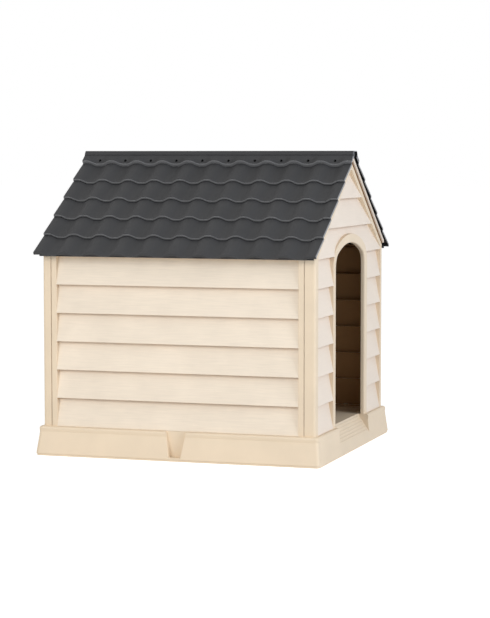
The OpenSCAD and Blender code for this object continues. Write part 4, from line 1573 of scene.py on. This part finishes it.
    def _ribs(self, piece: Moulding) -> None:
        """Adds the grid of ribs under the deck and the foot in the middle.

        Args:
            piece: The base in the making.
        """
        low, top, half = self.rib_low_z, HOUSE.deck_z - self.skin / 2, self.skin / 2
        at_foot, at_rim = self.rib_set_in
        numbers = range(-self.ribs_each_way, self.ribs_each_way + 1)
        for number in numbers:
            y = number * self.rib_pitch
            wide, narrow = self.foot_half_w - at_foot, self.rim_half_w - at_rim
            if number == 0:
                wide = narrow = self.middle_reach
            piece.add(prism([(-wide, low), (wide, low), (narrow, top), (-narrow, top)],
                            Along.Y, y - half, y + half))
        deep, shallow = self.foot_half_d - at_foot, self.rim_half_d - at_rim
        (deck_y, _), (ramp_y, ramp_z) = self._ramp_line()[:2]
        for number in numbers:
            x = number * self.rib_pitch
            front = [(-shallow, top), (-deep, low)]
            if abs(x) < HOUSE.door_w / 2:
                front = [(deck_y + 2.0, top), (ramp_y + 2.0, ramp_z - 3.0), (-deep + 2.0, low)]
            piece.add(prism([(deep, low), (shallow, top), *front], Along.X, x - half, x + half))
        foot = bmesh.new()
        bmesh.ops.create_cone(foot, cap_ends=True, segments=48, radius1=self.middle_foot_r,
                              radius2=self.middle_foot_r, depth=self.skin,
                              matrix=Matrix.Translation((0, 0, half)))
        piece.add(foot)
        reach = self.middle_rib_half
        for turn in (0.0, math.pi / 2):
            piece.add(block((-half, -reach, 1.0), (half, reach, low + 1), rounding=0.0), 0,
                      Matrix.Rotation(turn, 4, "Z"))


# Studio

@dataclass(frozen=True)
class Studio:
    """A pale floor, soft light and a camera at the height of the eaves."""

    camera_at: tuple[float, float, float] = (-6.4662, -2.1707, 0.9678)
    yaw: float = 17.8173
    tilt: float = -4.286
    lens: float = 117.80
    ambient: float = 0.42
    glow: float = 0.67
    floor_half: float = 60.0
    lit_spot: tuple[float, float, float] = (0.0, 0.0, 0.5)

    def build(self) -> None:
        """Builds the floor, the light and the camera."""
        self._floor()
        self._world()
        self._lamp("side", at=(-4.4, 1.1, 1.9), size=2.2, power=84.0, colour="#ffffff")
        self._lamp("front", at=(-1.8, -5.1, 2.0), size=2.6, power=163.0, colour="#ebf3ff")
        self._camera()

    def _floor(self) -> None:
        """Lays the floor, which looks white and keeps the house's shadow."""
        form = bmesh.new()
        bmesh.ops.create_grid(form, x_segments=1, y_segments=1, size=self.floor_half)
        shape = bpy.data.meshes.new("floor")
        form.to_mesh(shape)
        form.free()
        floor = placed("floor", shape)
        material = bpy.data.materials.new("matt_white_floor")
        tree = empty_tree(material)
        seen = self._seen(tree)
        soft = add_node(tree, "ShaderNodeBsdfDiffuse", None, {"Color": linear("#e6e6e6")})
        glow = add_node(tree, "ShaderNodeEmission", None, {"Strength": self.glow})
        none = add_node(tree, "ShaderNodeEmission", None, {"Strength": 0.0})
        lit = add_node(tree, "ShaderNodeMixShader", None,
                       {0: seen, 1: none.outputs[0], 2: glow.outputs[0]})
        both = add_node(tree, "ShaderNodeAddShader", None,
                        {0: soft.outputs[0], 1: lit.outputs[0]})
        add_node(tree, "ShaderNodeOutputMaterial", None, {"Surface": both.outputs[0]})
        shape.materials.append(material)

    @staticmethod
    def _seen(tree: bpy.types.NodeTree) -> bpy.types.NodeSocket:
        """Tells the rays that see the backdrop from those that light the house.

        Args:
            tree: The node tree.

        Returns:
            A socket that is 1 for camera, glossy and transmission rays and 0 for others.
        """
        path = add_node(tree, "ShaderNodeLightPath")
        first = add_node(tree, "ShaderNodeMath", {"operation": "MAXIMUM"},
                         {0: path.outputs["Is Camera Ray"], 1: path.outputs["Is Glossy Ray"]})
        return add_node(tree, "ShaderNodeMath", {"operation": "MAXIMUM"},
                        {0: first.outputs[0],
                         1: path.outputs["Is Transmission Ray"]}).outputs[0]

    def _world(self) -> None:
        """Lights the house evenly from all round, before a white backdrop."""
        world = bpy.data.worlds.new("studio")
        bpy.context.scene.world = world
        tree = empty_tree(world)
        level = add_node(tree, "ShaderNodeMapRange", None,
                         {"Value": self._seen(tree), "To Min": self.ambient, "To Max": 1.0})
        light = add_node(tree, "ShaderNodeBackground", None,
                         {"Color": linear("#ffffff"), "Strength": level.outputs["Result"]})
        add_node(tree, "ShaderNodeOutputWorld", None, {"Surface": light.outputs[0]})

    def _lamp(self, name: str, at: tuple[float, float, float], size: float, power: float,
              colour: str) -> None:
        """Hangs a square softbox that faces the house.

        Args:
            name: The lamp's name.
            at: Its place.
            size: The length of its sides.
            power: Its power in watts.
            colour: Its colour, as sRGB hex.
        """
        light = bpy.data.lights.new(name, "AREA")
        light.size, light.energy, light.color = size, power, linear(colour)[:3]
        self._aim(placed(name, light), at, Vector(self.lit_spot) - Vector(at))

    def _camera(self) -> None:
        """Sets the camera."""
        camera = bpy.data.cameras.new("camera")
        camera.lens, camera.sensor_width, camera.sensor_fit = self.lens, 36.0, "AUTO"
        camera.clip_end = 200.0
        yaw, tilt = math.radians(self.yaw), math.radians(self.tilt)
        holder = placed("camera", camera)
        self._aim(holder, self.camera_at,
                  Vector((math.cos(yaw) * math.cos(tilt), math.sin(yaw) * math.cos(tilt),
                          math.sin(tilt))))
        bpy.context.scene.camera = holder
        bpy.context.scene.view_settings.view_transform = "Standard"

    @staticmethod
    def _aim(holder: bpy.types.Object, at: tuple[float, float, float], way: Vector) -> None:
        """Puts a lamp or camera at a place, looking one way."""
        holder.location = at
        holder.rotation_euler = way.to_track_quat("-Z", "Y").to_euler()


# The whole house

def dress_fasteners(palette: Palette) -> None:
    """Gives the pegs, bolts and nuts, which keep their solids, their materials.

    Args:
        palette: The materials of the house.
    """
    for name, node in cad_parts.items():
        if name.endswith("pegs") or name in ("ridge_bolts", "ridge_wing_nuts"):
            material = palette.pegs if name.endswith("pegs") else palette.tiles
            node.data.materials.clear()
            node.data.materials.append(material)
            LOG.info("%s: keeps its solid", name)


def main() -> None:
    """Builds the house and its studio."""
    logging.basicConfig(level=logging.INFO, format="%(message)s")
    palette = make_palette()
    parts = [BaseTray(), GableWall(End.FRONT, "front_panel"), GableWall(End.REAR, "rear_panel"),
             SideWall(Side.LEFT, "left_panel"), SideWall(Side.RIGHT, "right_panel"),
             TileRoof(Side.LEFT, "roof_left"), TileRoof(Side.RIGHT, "roof_right"), RidgeCap()]
    for part in parts:
        part.build(palette)
    dress_fasteners(palette)
    Studio().build()


if __name__ == "__main__":
    main()
